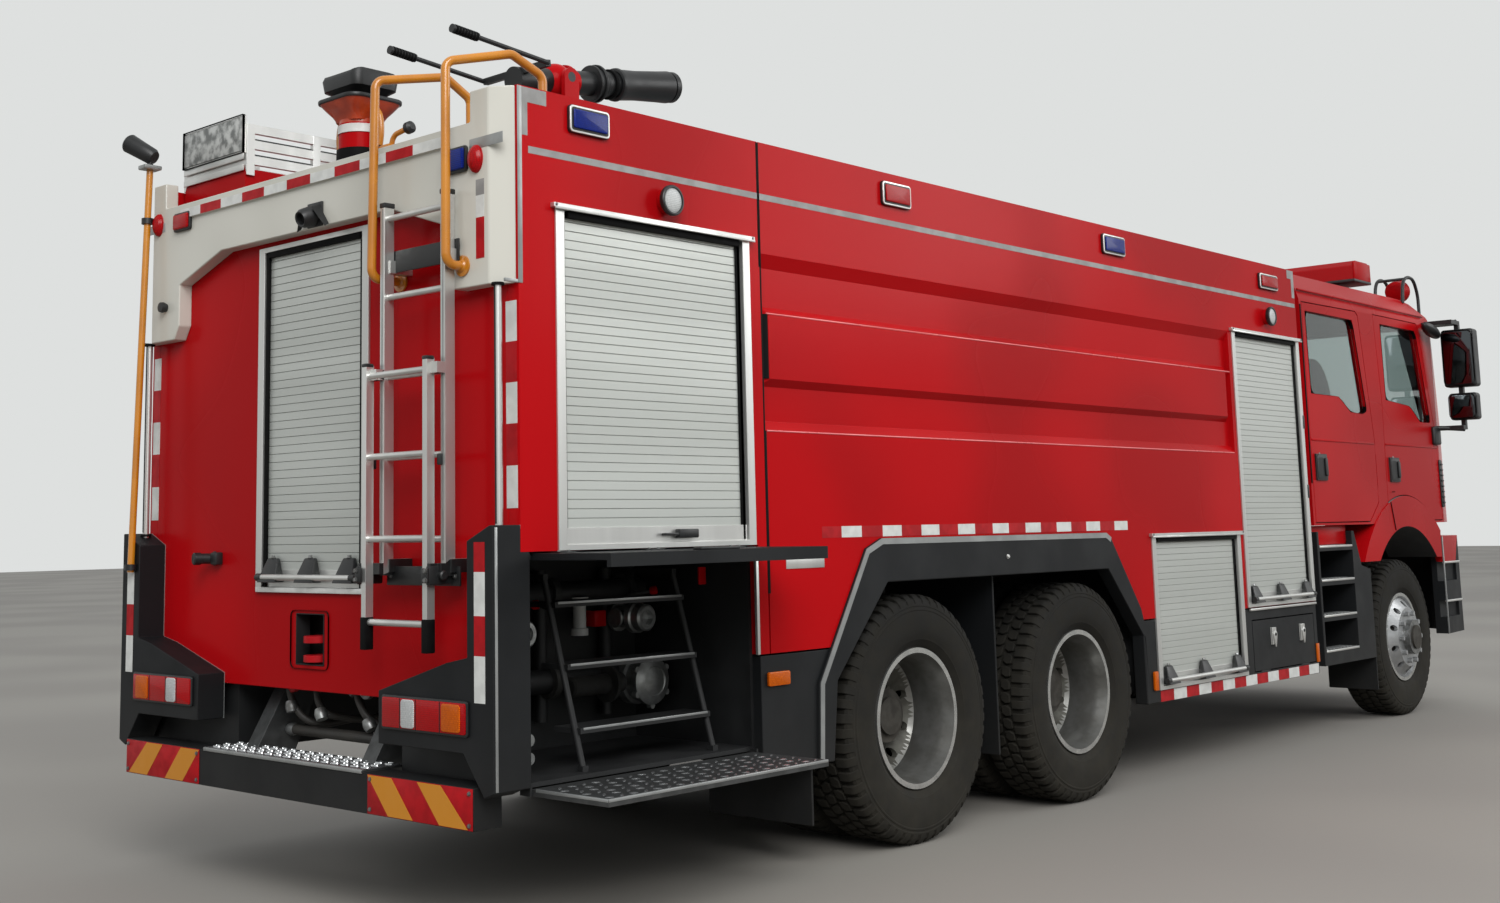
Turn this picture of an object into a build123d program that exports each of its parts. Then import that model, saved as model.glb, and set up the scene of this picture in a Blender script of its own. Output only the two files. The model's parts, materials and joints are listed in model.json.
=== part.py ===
from build123d import *
import os
from math import sin, cos, pi, radians, sqrt

# Six-wheel-position fire truck with a crew cab, roller shutters and a roof water cannon
# Millimetres. +X is forward, +Y the vehicle's left, +Z up
# The origin is on the ground under the middle of the vehicle's box

# Overall
FRONT_X = 4950.0
HALF_W = 1250.0
BODY_TOP = 2965.0
FIT = 0.3
PANEL_GAP = 8.0

# Axles and wheels
AXLE_FRONT_X = 3560.0
AXLE_MID_X = -1040.0
AXLE_REAR_X = -2440.0
TYRE_R = 538.0
TYRE_W = 300.0
BEAD_R = 296.0
RIM_LIP_R = 304.0
RIM_BARREL_R = 262.0
RIM_W = 254.0
LIP_T = 12.0
DISC_T = 14.0
OFFSET = 170.0
FLANGE_R = 202.0
HAND_HOLES = 10
HAND_HOLE_AT = 226.0
HAND_HOLE_R = 21.0
FRONT_TYRE_Y = HALF_W - 220.0
OUTER_TYRE_Y = HALF_W - 155.0
TWIN_PITCH = 2 * OFFSET
DRUM_R = 190.0
BRAKE_GAP = 14.0
HUB_R = 118.0
FRONT_HUB_L = 44.0
REAR_HUB_L = 130.0
STUD_CIRCLE_R = 167.5
NUT_R = 17.0
NUT_H = 30.0
KINGPIN_Y = FRONT_TYRE_Y - 190.0
KINGPIN_R = 24.0
EYE_R = 44.0
STUB_R = 40.0
RUNNING = 0.1

# Chassis
RAIL_OUT_Y = 430.0
RAIL_FLANGE = 80.0
RAIL_T = 12.0
RAIL_Z0 = 870.0
RAIL_Z1 = 1150.0
RAIL_X0 = -4700.0
RAIL_X1 = 4560.0
AXLE_TUBE_R = 75.0
NOSE_R = 40.0
SHAFT_R = 50.0
TOW_X = -4750.0
TOW_Z = 942.0
TOW_JAW = 100.0
TOW_LUG = 26.0
TOW_PIN_R = 20.0
FLAP_REAR_X = -3160.0
FLAP_MID_X = -1746.0
HOUSE_X1 = 2850.0
MUD_T = 12.0
SPRING_W = 80.0
SPRING_IN_Y = 470.0
SPRING_OUT_Y = 550.0
EYE_H = 66.0
DIFF_R = 200.0
DIFF_NOSE = 190.0
DIFF_BACK = 170.0

# Superstructure
BODY_X0 = -4786.0
BODY_X1 = 1866.0
WALL = 60.0
RECESS = 28.0
FLOOR_Z = 1165.0
DECK_Z = 2860.0
DECK_T = 40.0
SEAM_X = -3475.0
FASCIA_Z = 2498.0
RIB_Z = (1953.0, 2282.0)
LOWER_RIB_Z = 1811.0
SKIRT_Z = 415.0

# Side openings, as x from, x to, z from, z to
REAR_SHUTTER = (-4571.0, -3588.0, 1335.0, 2535.0)
TALL_SHUTTER = (928.0, 1816.0, 883.0, 2500.0)
SMALL_SHUTTER = (-215.0, 790.0, 500.0, 1291.0)
BAY = (-4740.0, -3545.0, 529.0, 1290.0)
TOOLBOX = (940.0, 1816.0, 490.0, 782.0)
BAY_DEPTH = HALF_W - RAIL_OUT_Y - 120.0
BAY_T = 16.0
BAY_MOUTH_Y = HALF_W - 46.0
BAY_LINTEL_Z = BAY[3] + 24.0
SLAT_PITCH = 33.5
SLAT_GROOVE = 4.0
POST_W = 42.0
FRAME_PROUD = 8.0

# Dark surround over the twin wheels, as x and z points
ARCH_OUT = [(-3189.0, 427.0), (-3173.0, 748.0), (-2831.0, 1284.0), (-2718.0, 1327.0), (-762.0, 1323.0),
            (-712.0, 1298.0), (-425.0, 918.0), (-362.0, 734.0), (-380.0, 419.0)]
ARCH_IN = [(-410.0, 419.0), (-416.0, 778.0), (-756.0, 1138.0), (-2683.0, 1138.0), (-3055.0, 750.0),
           (-3093.0, 427.0)]
WALL_Z0 = 860.0
WALL_AFT_Z0 = 885.0

# Leaves that close the pump bays
LEAF_X = (-4722.0, -3563.0)
LEAF_T = 24.0
LEAF_Y = HALF_W - LEAF_T
FLAP_HINGE_Z = 1296.0
FLAP_L = 400.0
BOARD_HINGE_Z = 500.0
BOARD_L = 372.0
LEAF_PIN_R = 6.0

# Rear wall
REAR_SHUTTER_Y = 340.0
REAR_SHUTTER_Z0 = 1180.0
REAR_SHUTTER_Z1 = 2560.0
REAR_WALL_Z0 = 782.0
FRAME_X = -4848.0
PILLAR_IN_Y = HALF_W - 320.0
POLE_X = -4836.0
POLE_Y = HALF_W - 54.0
PILLAR_Z0 = 2250.0
HEADER_Z0 = 2600.0
HEADER_Z1 = 2822.0
FAIRING_X = -4912.0
BAR_X = -4924.0
BAR_DEPTH = 124.0
BAR_HALF = HALF_W - 90.0
BAR_STEP_HALF = HALF_W - 710.0
BAR_Z0 = 391.0
BAR_Z1 = 532.0
LAMP_T = 14.0
TAIL_LAMP_Y = (HALF_W - 605.0, HALF_W - 125.0)
BOOT_WALL = 139.0

# Rear ladder: stiles across, then the lower section's step out and shift
LADDER_X = -4890.0
LADDER_W = 355.0
LADDER_Y = (265.0 - HALF_W, 265.0 - HALF_W + LADDER_W)
STILE_HALF = 13.0
SLIDE_STEP = 59.0
SLIDE_SHIFT = 35.0
RUNG_PITCH = 297.0
RUNG_R = 12.0

# Roof gear
MAST_X = -4560.0
MAST_H = 220.0
CANNON_X = -3450.0
CANNON_Z = 3480.0
CANNON_TILT = 8.6
RISER_Z = 3250.0
TRUNNION_R = 24.0
CHEEK_Y = (96.0, 120.0)

# Cab
CAB_X0 = 1950.0
CAB_X1 = 4880.0
CAB_HALF = HALF_W - 10.0
HOUSE_IN_Y = CAB_HALF - 340.0
SCREEN_LOW = CAB_HALF - 180.0
SCREEN_HIGH = CAB_HALF - 230.0
CAB_Z0 = 1330.0
CAB_TOP = 3010.0
CAB_WALL = 50.0
DOOR_GAP = 6.0
REAR_HINGE_X = 3075.0
FRONT_HINGE_X = 4300.0
HINGE_ZS = (1540.0, 1840.0)
HINGE_H = 70.0
GLASS_T = 6.0
ARCH_R = 770.0
GUARD_R = 985.0
TILT_X = 4800.0
TILT_Z = 1150.0
TILT_R = 24.0
TILT_ARM = [(-60.0, -40.0), (30.0, -40.0), (30.0, 8.0), (-46.0, 76.0), (-46.0, 190.0), (-130.0, 190.0),
            (-130.0, 40.0)]
HEADLAMP_Y = (CAB_HALF - 650.0, CAB_HALF - 290.0)
HEADLAMP_Z = (830.0, 1000.0)
HEADLAMP_BACK = 4850.0
HEADLAMP_T = 32.0


def block(x, y, z):
    """A box between two values on each axis."""
    size = (x[1] - x[0], y[1] - y[0], z[1] - z[0])
    return Pos((x[0] + x[1]) / 2, (y[0] + y[1]) / 2, (z[0] + z[1]) / 2) * Box(*size)


def side_prism(points, y0, y1):
    """An outline of x and z points, from y0 to y1."""
    face = make_face(Polyline(*points, close=True))
    plane = Plane(origin=(0, y1, 0), x_dir=(1, 0, 0), z_dir=(0, -1, 0))
    return extrude(plane * face, amount=y1 - y0, dir=(0, -1, 0))


def cross_prism(points, x0, x1):
    """An outline of y and z points, from x0 to x1."""
    face = make_face(Polyline(*points, close=True))
    plane = Plane(origin=(x0, 0, 0), x_dir=(0, 1, 0), z_dir=(1, 0, 0))
    return extrude(plane * face, amount=x1 - x0, dir=(1, 0, 0))


def plan_prism(points, z0, z1):
    """An outline of x and y points, from z0 to z1."""
    face = make_face(Polyline(*points, close=True))
    return extrude(Pos(0, 0, z0) * face, amount=z1 - z0, dir=(0, 0, 1))


def rod(p0, p1, r):
    """A round bar from one point to another."""
    a, b = Vector(*p0), Vector(*p1)
    return extrude(Plane(origin=a, z_dir=b - a) * Circle(r), amount=(b - a).length)


def disc_y(x, y0, y1, z, r):
    """A round bar along Y."""
    return rod((x, y0, z), (x, y1, z), r)


def bent_tube(points, bend, r):
    """A tube along straight runs joined by arcs."""
    path = FilletPolyline(*points, radius=bend)
    section = Plane(origin=points[0], z_dir=Vector(*points[1]) - Vector(*points[0])) * Circle(r)
    return sweep(section, path=path)


def other_side(shape):
    return mirror(shape, about=Plane.XZ)


def both(shape):
    """A shape and its mirror image across the vehicle."""
    return [shape, other_side(shape)]


def spun_y(points, x, y, z):
    """A profile of (distance along Y, radius) turned about an axle line."""
    face = make_face(Polyline(*[(r, d) for d, r in points], close=True))
    plane = Plane(origin=(x, y, z), x_dir=(1, 0, 0), z_dir=(0, 0, 1))
    return revolve(plane * face, axis=Axis((x, y, z), (0, 1, 0)))


def save(name, shapes):
    """One file for a node of one or more separate solids."""
    if not isinstance(shapes, (list, tuple)):
        shapes = [shapes]
    solids = [s for shape in shapes for s in shape.solids()]
    export_step(solids[0] if len(solids) == 1 else Compound(solids), "parts/" + name + ".step")


# Wheels

def tyre(x, y, z):
    """One closed tyre with its bead, sidewall, shoulder and tread."""
    half = TYRE_W / 2
    tread = half - 34.0
    bead = RIM_W / 2 - LIP_T - FIT
    over_lip = RIM_LIP_R + 6.0
    profile = [(-bead, BEAD_R), (-bead, over_lip), (-half + 4.0, BEAD_R + 70.0), (-half, TYRE_R - 120.0),
               (-tread - 14.0, TYRE_R - 22.0), (-tread, TYRE_R), (tread, TYRE_R),
               (tread + 14.0, TYRE_R - 22.0), (half, TYRE_R - 120.0), (half - 4.0, BEAD_R + 70.0),
               (bead, over_lip), (bead, BEAD_R)]
    return spun_y(profile, x, y, z)


def rim_skins():
    """Outer and inner outline of a rim, as (distance from its middle towards its disc, radius)."""
    half, seat = RIM_W / 2, BEAD_R - FIT
    outer = [(-half, RIM_LIP_R), (-half + LIP_T, RIM_LIP_R), (-half + LIP_T, seat), (half - LIP_T, seat),
             (half - LIP_T, RIM_LIP_R), (half, RIM_LIP_R), (half, seat - 14.0), (half - 23.0, seat - 20.0)]
    inner = [(OFFSET - DISC_T, FLANGE_R - 8.0), (84.0, RIM_BARREL_R + 3.0), (60.0, RIM_BARREL_R),
             (-60.0, RIM_BARREL_R), (-half, seat - 14.0)]
    return outer, inner


def hub_outline(d, length, cap, bore_to, back):
    """Hub with its cap and blind bore, from the disc face at d to the back of the disc."""
    return [(d, HUB_R), (length, HUB_R), (length, HUB_R - 36.0), (length + cap, HUB_R - 36.0), (length + cap, 0.0),
            (bore_to, 0.0), (bore_to, STUB_R + RUNNING), (back, STUB_R + RUNNING)]


def finish_wheel(wheel, x, y0, face, out, z):
    """Hand holes through the dish, and a ring of nuts on the face."""
    for k in range(HAND_HOLES):
        turn = radians(360.0 / HAND_HOLES * k)
        hx, hz = x + HAND_HOLE_AT * sin(turn), z + HAND_HOLE_AT * cos(turn)
        wheel -= disc_y(hx, y0 - out * 120.0, y0 + out * 120.0, hz, HAND_HOLE_R)
    for k in range(HAND_HOLES):
        turn = radians(360.0 / HAND_HOLES * (k + 0.5))
        spot = (x + STUD_CIRCLE_R * sin(turn), face - out * 2.0, z + STUD_CIRCLE_R * cos(turn))
        wheel += extrude(Plane(origin=spot, z_dir=(0, out, 0)) * RegularPolygon(NUT_R, 6), amount=NUT_H)
    return wheel


def front_wheel(out):
    """Rim with its disc outwards, hub and nuts, running on the stub axle."""
    outer, inner = rim_skins()
    hub_end = OFFSET + FRONT_HUB_L
    hub = hub_outline(OFFSET, hub_end, 14.0, hub_end - 10.0, OFFSET - DISC_T)
    outline = outer + [(OFFSET, FLANGE_R)] + hub + inner
    x, z, y = AXLE_FRONT_X, TYRE_R, out * FRONT_TYRE_Y
    wheel = spun_y([(out * d, r) for d, r in outline], x, y, z)
    return finish_wheel(wheel, x, y + out * OFFSET, y + out * OFFSET, out, z)


def rear_wheel(x, out):
    """Two rims back to back with the hub that shows in the deep outer dish."""
    outer, inner = rim_skins()
    outline = [(d - OFFSET, r) for d, r in outer] + [(0.0, FLANGE_R)]
    outline += [(OFFSET - d, r) for d, r in reversed(outer)] + [(OFFSET - d, r) for d, r in reversed(inner)]
    outline += hub_outline(DISC_T, REAR_HUB_L, 20.0, REAR_HUB_L - 40.0, -DISC_T)
    outline += [(d - OFFSET, r) for d, r in inner]
    z, meet = TYRE_R, out * (OUTER_TYRE_Y - OFFSET)
    wheel = spun_y([(out * d, r) for d, r in outline], x, meet, z)
    return finish_wheel(wheel, x, meet, meet + out * DISC_T, out, z)


def make_wheels():
    for tag, out in (("right", -1), ("left", 1)):
        save("wheel_front_" + tag, front_wheel(out))
        save("tyre_front_" + tag, tyre(AXLE_FRONT_X, out * FRONT_TYRE_Y, TYRE_R))
        for row, x in (("mid", AXLE_MID_X), ("rear", AXLE_REAR_X)):
            save("wheel_" + row + "_" + tag, rear_wheel(x, out))
            pair = [tyre(x, out * OUTER_TYRE_Y, TYRE_R), tyre(x, out * (OUTER_TYRE_Y - TWIN_PITCH), TYRE_R)]
            save("tyres_" + row + "_" + tag, pair)


def knuckle(out):
    """Upright with its kingpin, stub axle and brake drum."""
    x, z = AXLE_FRONT_X, TYRE_R
    pin = rod((x, out * KINGPIN_Y, z - 130.0), (x, out * KINGPIN_Y, z + 130.0), KINGPIN_R)
    lugs = [block((x - 45.0, x + 45.0), sorted((out * (KINGPIN_Y - 45.0), out * (KINGPIN_Y + 70.0))), zz)
            for zz in ((z - 130.0, z - 72.0), (z + 72.0, z + 130.0))]
    web = block((x - 45.0, x + 45.0), sorted((out * (KINGPIN_Y + 50.0), out * (KINGPIN_Y + 75.0))),
                (z - 130.0, z + 130.0))
    face = FRONT_TYRE_Y + OFFSET
    stub = disc_y(x, out * (KINGPIN_Y + 70.0), out * (face + FRONT_HUB_L - 12.0), z, STUB_R)
    drum = disc_y(x, out * (KINGPIN_Y + 76.0), out * (face - DISC_T - BRAKE_GAP), z, DRUM_R)
    arm = block((x - 190.0, x - 40.0), sorted((out * (KINGPIN_Y - 30.0), out * (KINGPIN_Y + 20.0))),
                (z - 128.0, z - 92.0))
    body = pin + web + stub + drum + arm
    for lug in lugs:
        body += lug
    return body


# Chassis

def make_chassis():
    rails = []
    for out in (-1, 1):
        outer = block((RAIL_X0, RAIL_X1), sorted((out * (RAIL_OUT_Y - RAIL_FLANGE), out * RAIL_OUT_Y)),
                      (RAIL_Z0, RAIL_Z1))
        hollow = block((RAIL_X0 - 1, RAIL_X1 + 1),
                       sorted((out * (RAIL_OUT_Y - RAIL_FLANGE - 1), out * (RAIL_OUT_Y - RAIL_T))),
                       (RAIL_Z0 + RAIL_T, RAIL_Z1 - RAIL_T))
        rails.append(outer - hollow)
    frame = rails[0] + rails[1]
    for x in (RAIL_X0 + 40.0, -3100.0, -1740.0, 300.0, 2000.0, RAIL_X1 - 160.0):
        frame += block((x, x + 90.0), (-RAIL_OUT_Y + RAIL_T / 2, RAIL_OUT_Y - RAIL_T / 2),
                       (RAIL_Z0 + 40.0, RAIL_Z1 - 40.0))
    # Noses that carry the tilt hinge of the cab
    nose = [(RAIL_X1 - 100.0, RAIL_Z0 + 20.0), (RAIL_X1 + 100.0, RAIL_Z0 + 20.0),
            (TILT_X - NOSE_R, TILT_Z - NOSE_R), (TILT_X, TILT_Z - NOSE_R), (TILT_X, TILT_Z + NOSE_R),
            (TILT_X - 120.0, TILT_Z + NOSE_R), (RAIL_X1 - 100.0, RAIL_Z1)]
    for out in (-1, 1):
        y0, y1 = sorted((out * (RAIL_OUT_Y - RAIL_FLANGE), out * RAIL_OUT_Y))
        frame += side_prism(nose, y0, y1) + disc_y(TILT_X, y0, y1, TILT_Z, NOSE_R)
        frame -= disc_y(TILT_X, y0 - 10.0, y1 + 10.0, TILT_Z, TILT_R + RUNNING)
    # Posts that the back of the cab rests on
    for out in (-1, 1):
        y = sorted((out * (RAIL_OUT_Y - RAIL_FLANGE), out * RAIL_OUT_Y))
        frame += block((2020.0, 2120.0), y, (RAIL_Z1 - 5.0, CAB_Z0))
    # Rear tow jaw: two lugs with an upright pin hole
    for z0 in (TOW_Z - TOW_JAW / 2, TOW_Z + TOW_JAW / 2 - TOW_LUG):
        frame += block((TOW_X, RAIL_X0 + 45.0), (-55.0, 55.0), (z0, z0 + TOW_LUG))
        frame += Pos(TOW_X, 0, z0 + TOW_LUG / 2) * Cylinder(55.0, TOW_LUG)
    frame -= Pos(TOW_X, 0, TOW_Z) * Cylinder(TOW_PIN_R, TOW_JAW + 10.0)
    save("chassis_frame", frame)


def leaf_spring(x, y, z, half_len, rise):
    """Stack of leaves under a rail, thick at the axle and thin at the eyes."""
    stack = []
    for k in range(4):
        reach = half_len * (1.0 - 0.2 * k)
        top = z + rise - 14.0 * k
        stack.append((reach, top))
    spring = None
    for reach, top in stack:
        leaf = block((x - reach, x + reach), (y - SPRING_W / 2, y + SPRING_W / 2), (top - 14.0, top))
        spring = leaf if spring is None else spring + leaf
    for end in (-1, 1):
        hanger = block((x + end * (half_len - 40.0) - 30.0, x + end * (half_len - 40.0) + 30.0),
                       (y - SPRING_W / 2, y + SPRING_W / 2), (z + rise - 2.0, RAIL_Z0))
        spring += hanger
    return spring


def front_axle():
    """Forged beam dropped between the kingpins, with its leaf springs."""
    z = TYRE_R
    end = KINGPIN_Y - 30.0
    half = [(end, z - EYE_H), (end, z + EYE_H), (700.0, z + EYE_H), (560.0, z - 20.0)]
    low = [(580.0, z - 130.0), (700.0, z - EYE_H)]
    outline = [(-u, v) for u, v in half] + [(u, v) for u, v in reversed(half)]
    outline += [(u, v) for u, v in reversed(low)] + [(-u, v) for u, v in low]
    beam = cross_prism(outline, AXLE_FRONT_X - 45.0, AXLE_FRONT_X + 45.0)
    for out in (-1, 1):
        pin = (AXLE_FRONT_X, out * KINGPIN_Y)
        beam += rod((*pin, z - EYE_H), (*pin, z + EYE_H), EYE_R)
        beam -= rod((*pin, z - EYE_H - 4.0), (*pin, z + EYE_H + 4.0), KINGPIN_R + RUNNING)
        beam += leaf_spring(AXLE_FRONT_X, out * (RAIL_OUT_Y - 40.0), z, 620.0, 120.0)
        beam += block((AXLE_FRONT_X - 60.0, AXLE_FRONT_X + 60.0),
                      sorted((out * (RAIL_OUT_Y - 80.0), out * RAIL_OUT_Y)), (z - 60.0, z + 80.0))
    return beam


def driven_axle(x):
    """Axle tube with its drums and stubs, and a round differential housing."""
    z = TYRE_R
    meet = OUTER_TYRE_Y - OFFSET
    stub_out = meet + REAR_HUB_L - 42.0
    drum_out = meet - DISC_T - BRAKE_GAP
    half = [(SPRING_OUT_Y, AXLE_TUBE_R), (SPRING_OUT_Y, DRUM_R), (drum_out, DRUM_R), (drum_out, STUB_R),
            (stub_out, STUB_R), (stub_out, 0.0)]
    axle = spun_y([(-d, r) for d, r in reversed(half)] + half, x, 0.0, z)
    housing = [(-DIFF_BACK, 0.0), (-DIFF_BACK, 80.0), (-120.0, 150.0), (-50.0, DIFF_R), (50.0, DIFF_R), (130.0, 130.0),
               (DIFF_NOSE, 90.0), (DIFF_NOSE, 0.0)]
    face = make_face(Polyline(*[(u, 0.0, v) for u, v in housing], close=True))
    axle += Pos(x, 0, z) * revolve(face, axis=Axis.X)
    for out in (-1, 1):
        y = sorted((out * SPRING_IN_Y, out * (SPRING_OUT_Y + 10.0)))
        axle += block((x - 70.0, x + 70.0), y, (z - 60.0, z + 200.0))
    return axle


def make_axles():
    """Front axle, and two driven axles hung from one spring pack a side."""
    z = TYRE_R
    bogie = driven_axle(AXLE_MID_X) + driven_axle(AXLE_REAR_X)
    bogie_x = (AXLE_MID_X + AXLE_REAR_X) / 2
    half = (AXLE_MID_X - AXLE_REAR_X) / 2
    for out in (-1, 1):
        y = sorted((out * SPRING_IN_Y, out * SPRING_OUT_Y))
        # Leaves, as half length, bottom and top
        leaves = ((half + 70.0, 199.0, 220.0), (half * 0.75, 219.0, 240.0), (half * 0.5, 239.0, 262.0))
        for reach, low, top in leaves:
            bogie += block((bogie_x - reach, bogie_x + reach), y, (z + low, z + top))
        seat = sorted((out * RAIL_OUT_Y, out * SPRING_OUT_Y))
        bogie += block((bogie_x - 120.0, bogie_x + 120.0), seat, (z + 261.0, RAIL_Z1 - 20.0))
    save("axles", [front_axle(), bogie])


def make_driveline():
    """One plain block for the closed engine mass, with its gearbox and the shafts that show below."""
    engine = block((3150.0, 4250.0), (-330.0, 330.0), (760.0, 1300.0))
    engine += block((2450.0, 3150.0), (-210.0, 210.0), (800.0, 1130.0))
    z = TYRE_R
    engine += rod((2460.0, 0, 845.0), (1200.0, 0, 790.0), SHAFT_R)
    joint_x = AXLE_MID_X + DIFF_NOSE + 120.0
    engine += rod((1200.0, 0, 790.0), (joint_x, 0, z), SHAFT_R)
    engine += Pos(joint_x, 0, z) * Sphere(SHAFT_R + 12.0)
    engine += rod((joint_x, 0, z), (AXLE_MID_X + DIFF_NOSE + FIT, 0, z), SHAFT_R)
    link = rod((AXLE_REAR_X + DIFF_NOSE + FIT, 0, z), (AXLE_MID_X - DIFF_BACK - FIT, 0, z), SHAFT_R)
    save("driveline", [engine, link])


# Superstructure

def make_core():
    """Water tank and locker block behind the outer panels."""
    inner = HALF_W - WALL
    over_bay = BAY[3] + BAY_T
    after_bay = BAY[1] + BAY_T
    core = side_prism([(BODY_X0 + WALL, over_bay), (after_bay, over_bay), (after_bay, FLOOR_Z),
                       (BODY_X1 - 30.0, FLOOR_Z), (BODY_X1 - 30.0, DECK_Z - DECK_T),
                       (BODY_X0 + WALL, DECK_Z - DECK_T)], -inner, inner)
    for out in (-1, 1):
        y = sorted((out * (RAIL_OUT_Y + 190.0), out * inner))
        core += block((-330.0, BODY_X1 - 30.0), y, (SKIRT_Z + 60.0, FLOOR_Z))
        core += block((after_bay, FLAP_REAR_X), y, (SKIRT_Z + 100.0, FLOOR_Z))
        # Room behind the drop-down tool locker door
        core -= block((TOOLBOX[0], TOOLBOX[1]), sorted((out * (HALF_W - 490.0), out * (inner + 1))),
                      (TOOLBOX[2], TOOLBOX[3]))
    # Subframe between the floor and the chassis rails
    for out in (-1, 1):
        y = sorted((out * (RAIL_OUT_Y - RAIL_FLANGE), out * RAIL_OUT_Y))
        core += block((BAY[1] + 30.0, BODY_X1 - 60.0), y, (RAIL_Z1, FLOOR_Z + 10.0))
    save("body_core", core)


def side_panel():
    """Right outer wall: flat end modules, a recessed middle with two proud pressings, and a fascia."""
    inner, face, low = -(HALF_W - WALL), -HALF_W, -(HALF_W - RECESS)
    x0, x1 = BODY_X0, BODY_X1
    tall0 = TALL_SHUTTER[0] - POST_W - 40.0
    after_bay = BAY[1] + BAY_T
    outline = [(x0, BAY_LINTEL_Z), (after_bay, BAY_LINTEL_Z), (after_bay, WALL_AFT_Z0), (-1700.0, WALL_AFT_Z0),
               (-1700.0, WALL_Z0), (x1, WALL_Z0), (x1, BODY_TOP), (x0, BODY_TOP)]
    wall = side_prism(outline, low, inner)
    # End modules and the fascia stand out to the full width
    wall += block((x0, SEAM_X), (face, low), (BAY_LINTEL_Z, BODY_TOP))
    wall += block((after_bay, SEAM_X), (face, low), (WALL_AFT_Z0, BODY_TOP))
    wall += block((tall0, x1), (face, low), (WALL_Z0, BODY_TOP))
    fascia = [(low, FASCIA_Z - 56.0), (face, FASCIA_Z), (face, BODY_TOP), (low, BODY_TOP)]
    wall += cross_prism(fascia, SEAM_X, tall0)
    # Upper pressing, with sloping edges
    z0, z1 = RIB_Z
    rib = Plane(origin=((SEAM_X + tall0 - 20.0) / 2, low, (z0 + z1) / 2), x_dir=(1, 0, 0), z_dir=(0, -1, 0))
    wall += extrude(rib * Rectangle(tall0 - SEAM_X - 50.0, z1 - z0), amount=RECESS, taper=48.0)
    # Lower pressing, flat below a sloping top edge
    wall += block((SEAM_X + 8.0, tall0), (face, low), (WALL_Z0, LOWER_RIB_Z - 40.0))
    slope = [(low, LOWER_RIB_Z), (low, LOWER_RIB_Z - 40.0), (face, LOWER_RIB_Z - 40.0)]
    wall += cross_prism(slope, SEAM_X + 8.0, tall0)
    # A panel joint between the rear and middle modules
    wall -= block((SEAM_X, SEAM_X + PANEL_GAP), (face - 1, low + 6.0), (WALL_Z0 - 1, BODY_TOP + 1))
    wall -= block((after_bay - 1, -1700.0), (face - 1, low + 1), (WALL_Z0 - 1, WALL_AFT_Z0))
    wall -= side_cut(ARCH_OUT, FIT, face - 1, inner + 1)
    # Shutter openings
    for a, b, c, d in (REAR_SHUTTER, TALL_SHUTTER, SMALL_SHUTTER):
        wall -= block((a - POST_W, b + POST_W), (face - 1, inner + 1), (c - 20.0, d + POST_W / 2))
    return wall


def make_sides():
    right = side_panel()
    save("side_right", right)
    save("side_left", other_side(right))


def slat_profile(z0, z1, face, back):
    """Points of a curtain's section: flat slats with a groove at each joint."""
    points = [(back, z0), (face, z0)]
    into = 1.0 if back > face else -1.0
    z = z0 + SLAT_PITCH
    while z < z1 - SLAT_PITCH / 2:
        points += [(face, z - SLAT_GROOVE), (face + into * SLAT_GROOVE, z), (face, z + 0.5)]
        z += SLAT_PITCH
    return points + [(face, z1), (back, z1)]


def make_shutters():
    """Seven roller curtains and the frames that they run in."""
    face = -(HALF_W - 16.0)
    back = face + 14.0
    curtains, frames = [], []
    for a, b, c, d in (REAR_SHUTTER, TALL_SHUTTER, SMALL_SHUTTER):
        curtains += both(cross_prism(slat_profile(c + 60.0, d, face, back), a, b))
        # Frame of posts, drip rail and sill, with the curtain's bottom board
        y = (-(HALF_W + FRAME_PROUD), -(HALF_W - WALL))
        foot, head = c - 20.0, d + POST_W / 2
        frame = block((a - POST_W, a), y, (foot, head)) + block((b, b + POST_W), y, (foot, head))
        frame += block((a, b), y, (d + FIT, head)) + block((a, b), y, (foot, c))
        drip = (-(HALF_W + 22.0), -HALF_W)
        frame += block((a - POST_W - 20.0, b + POST_W + 20.0), drip, (d + 4.0, head))
        frame += block((a, b), (face - 6.0, back), (c, c + 60.0))
        frames += both(frame)
    rear_face = BODY_X0 + 14.0
    slats = slat_profile(REAR_SHUTTER_Z0 + 70.0, REAR_SHUTTER_Z1, rear_face, rear_face + 14.0)
    curtains.append(side_prism(slats, -REAR_SHUTTER_Y, REAR_SHUTTER_Y))
    x = (BODY_X0 - FRAME_PROUD, BODY_X0 + WALL)
    ry, z0, z1 = REAR_SHUTTER_Y, REAR_SHUTTER_Z0, REAR_SHUTTER_Z1
    post = (z0 - 20.0, z1 + POST_W / 2)
    frame = block(x, (ry, ry + POST_W), post) + block(x, (-ry - POST_W, -ry), post)
    frame += block(x, (-ry, ry), (z1 + FIT, z1 + POST_W / 2)) + block(x, (-ry, ry), (z0 - 20.0, z0))
    frame += block((rear_face - 6.0, rear_face + 14.0), (-ry, ry), (z0, z0 + 70.0))
    frames.append(frame)
    save("roller_shutters", curtains)
    # Bright poles between the corner mouldings and the pillars
    pole = rod((POLE_X, -POLE_Y, 1380.0), (POLE_X, -POLE_Y, PILLAR_Z0), 14.0) - other_side(corner_moulding())
    save("bright_trim", frames + both(pole))


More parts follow.
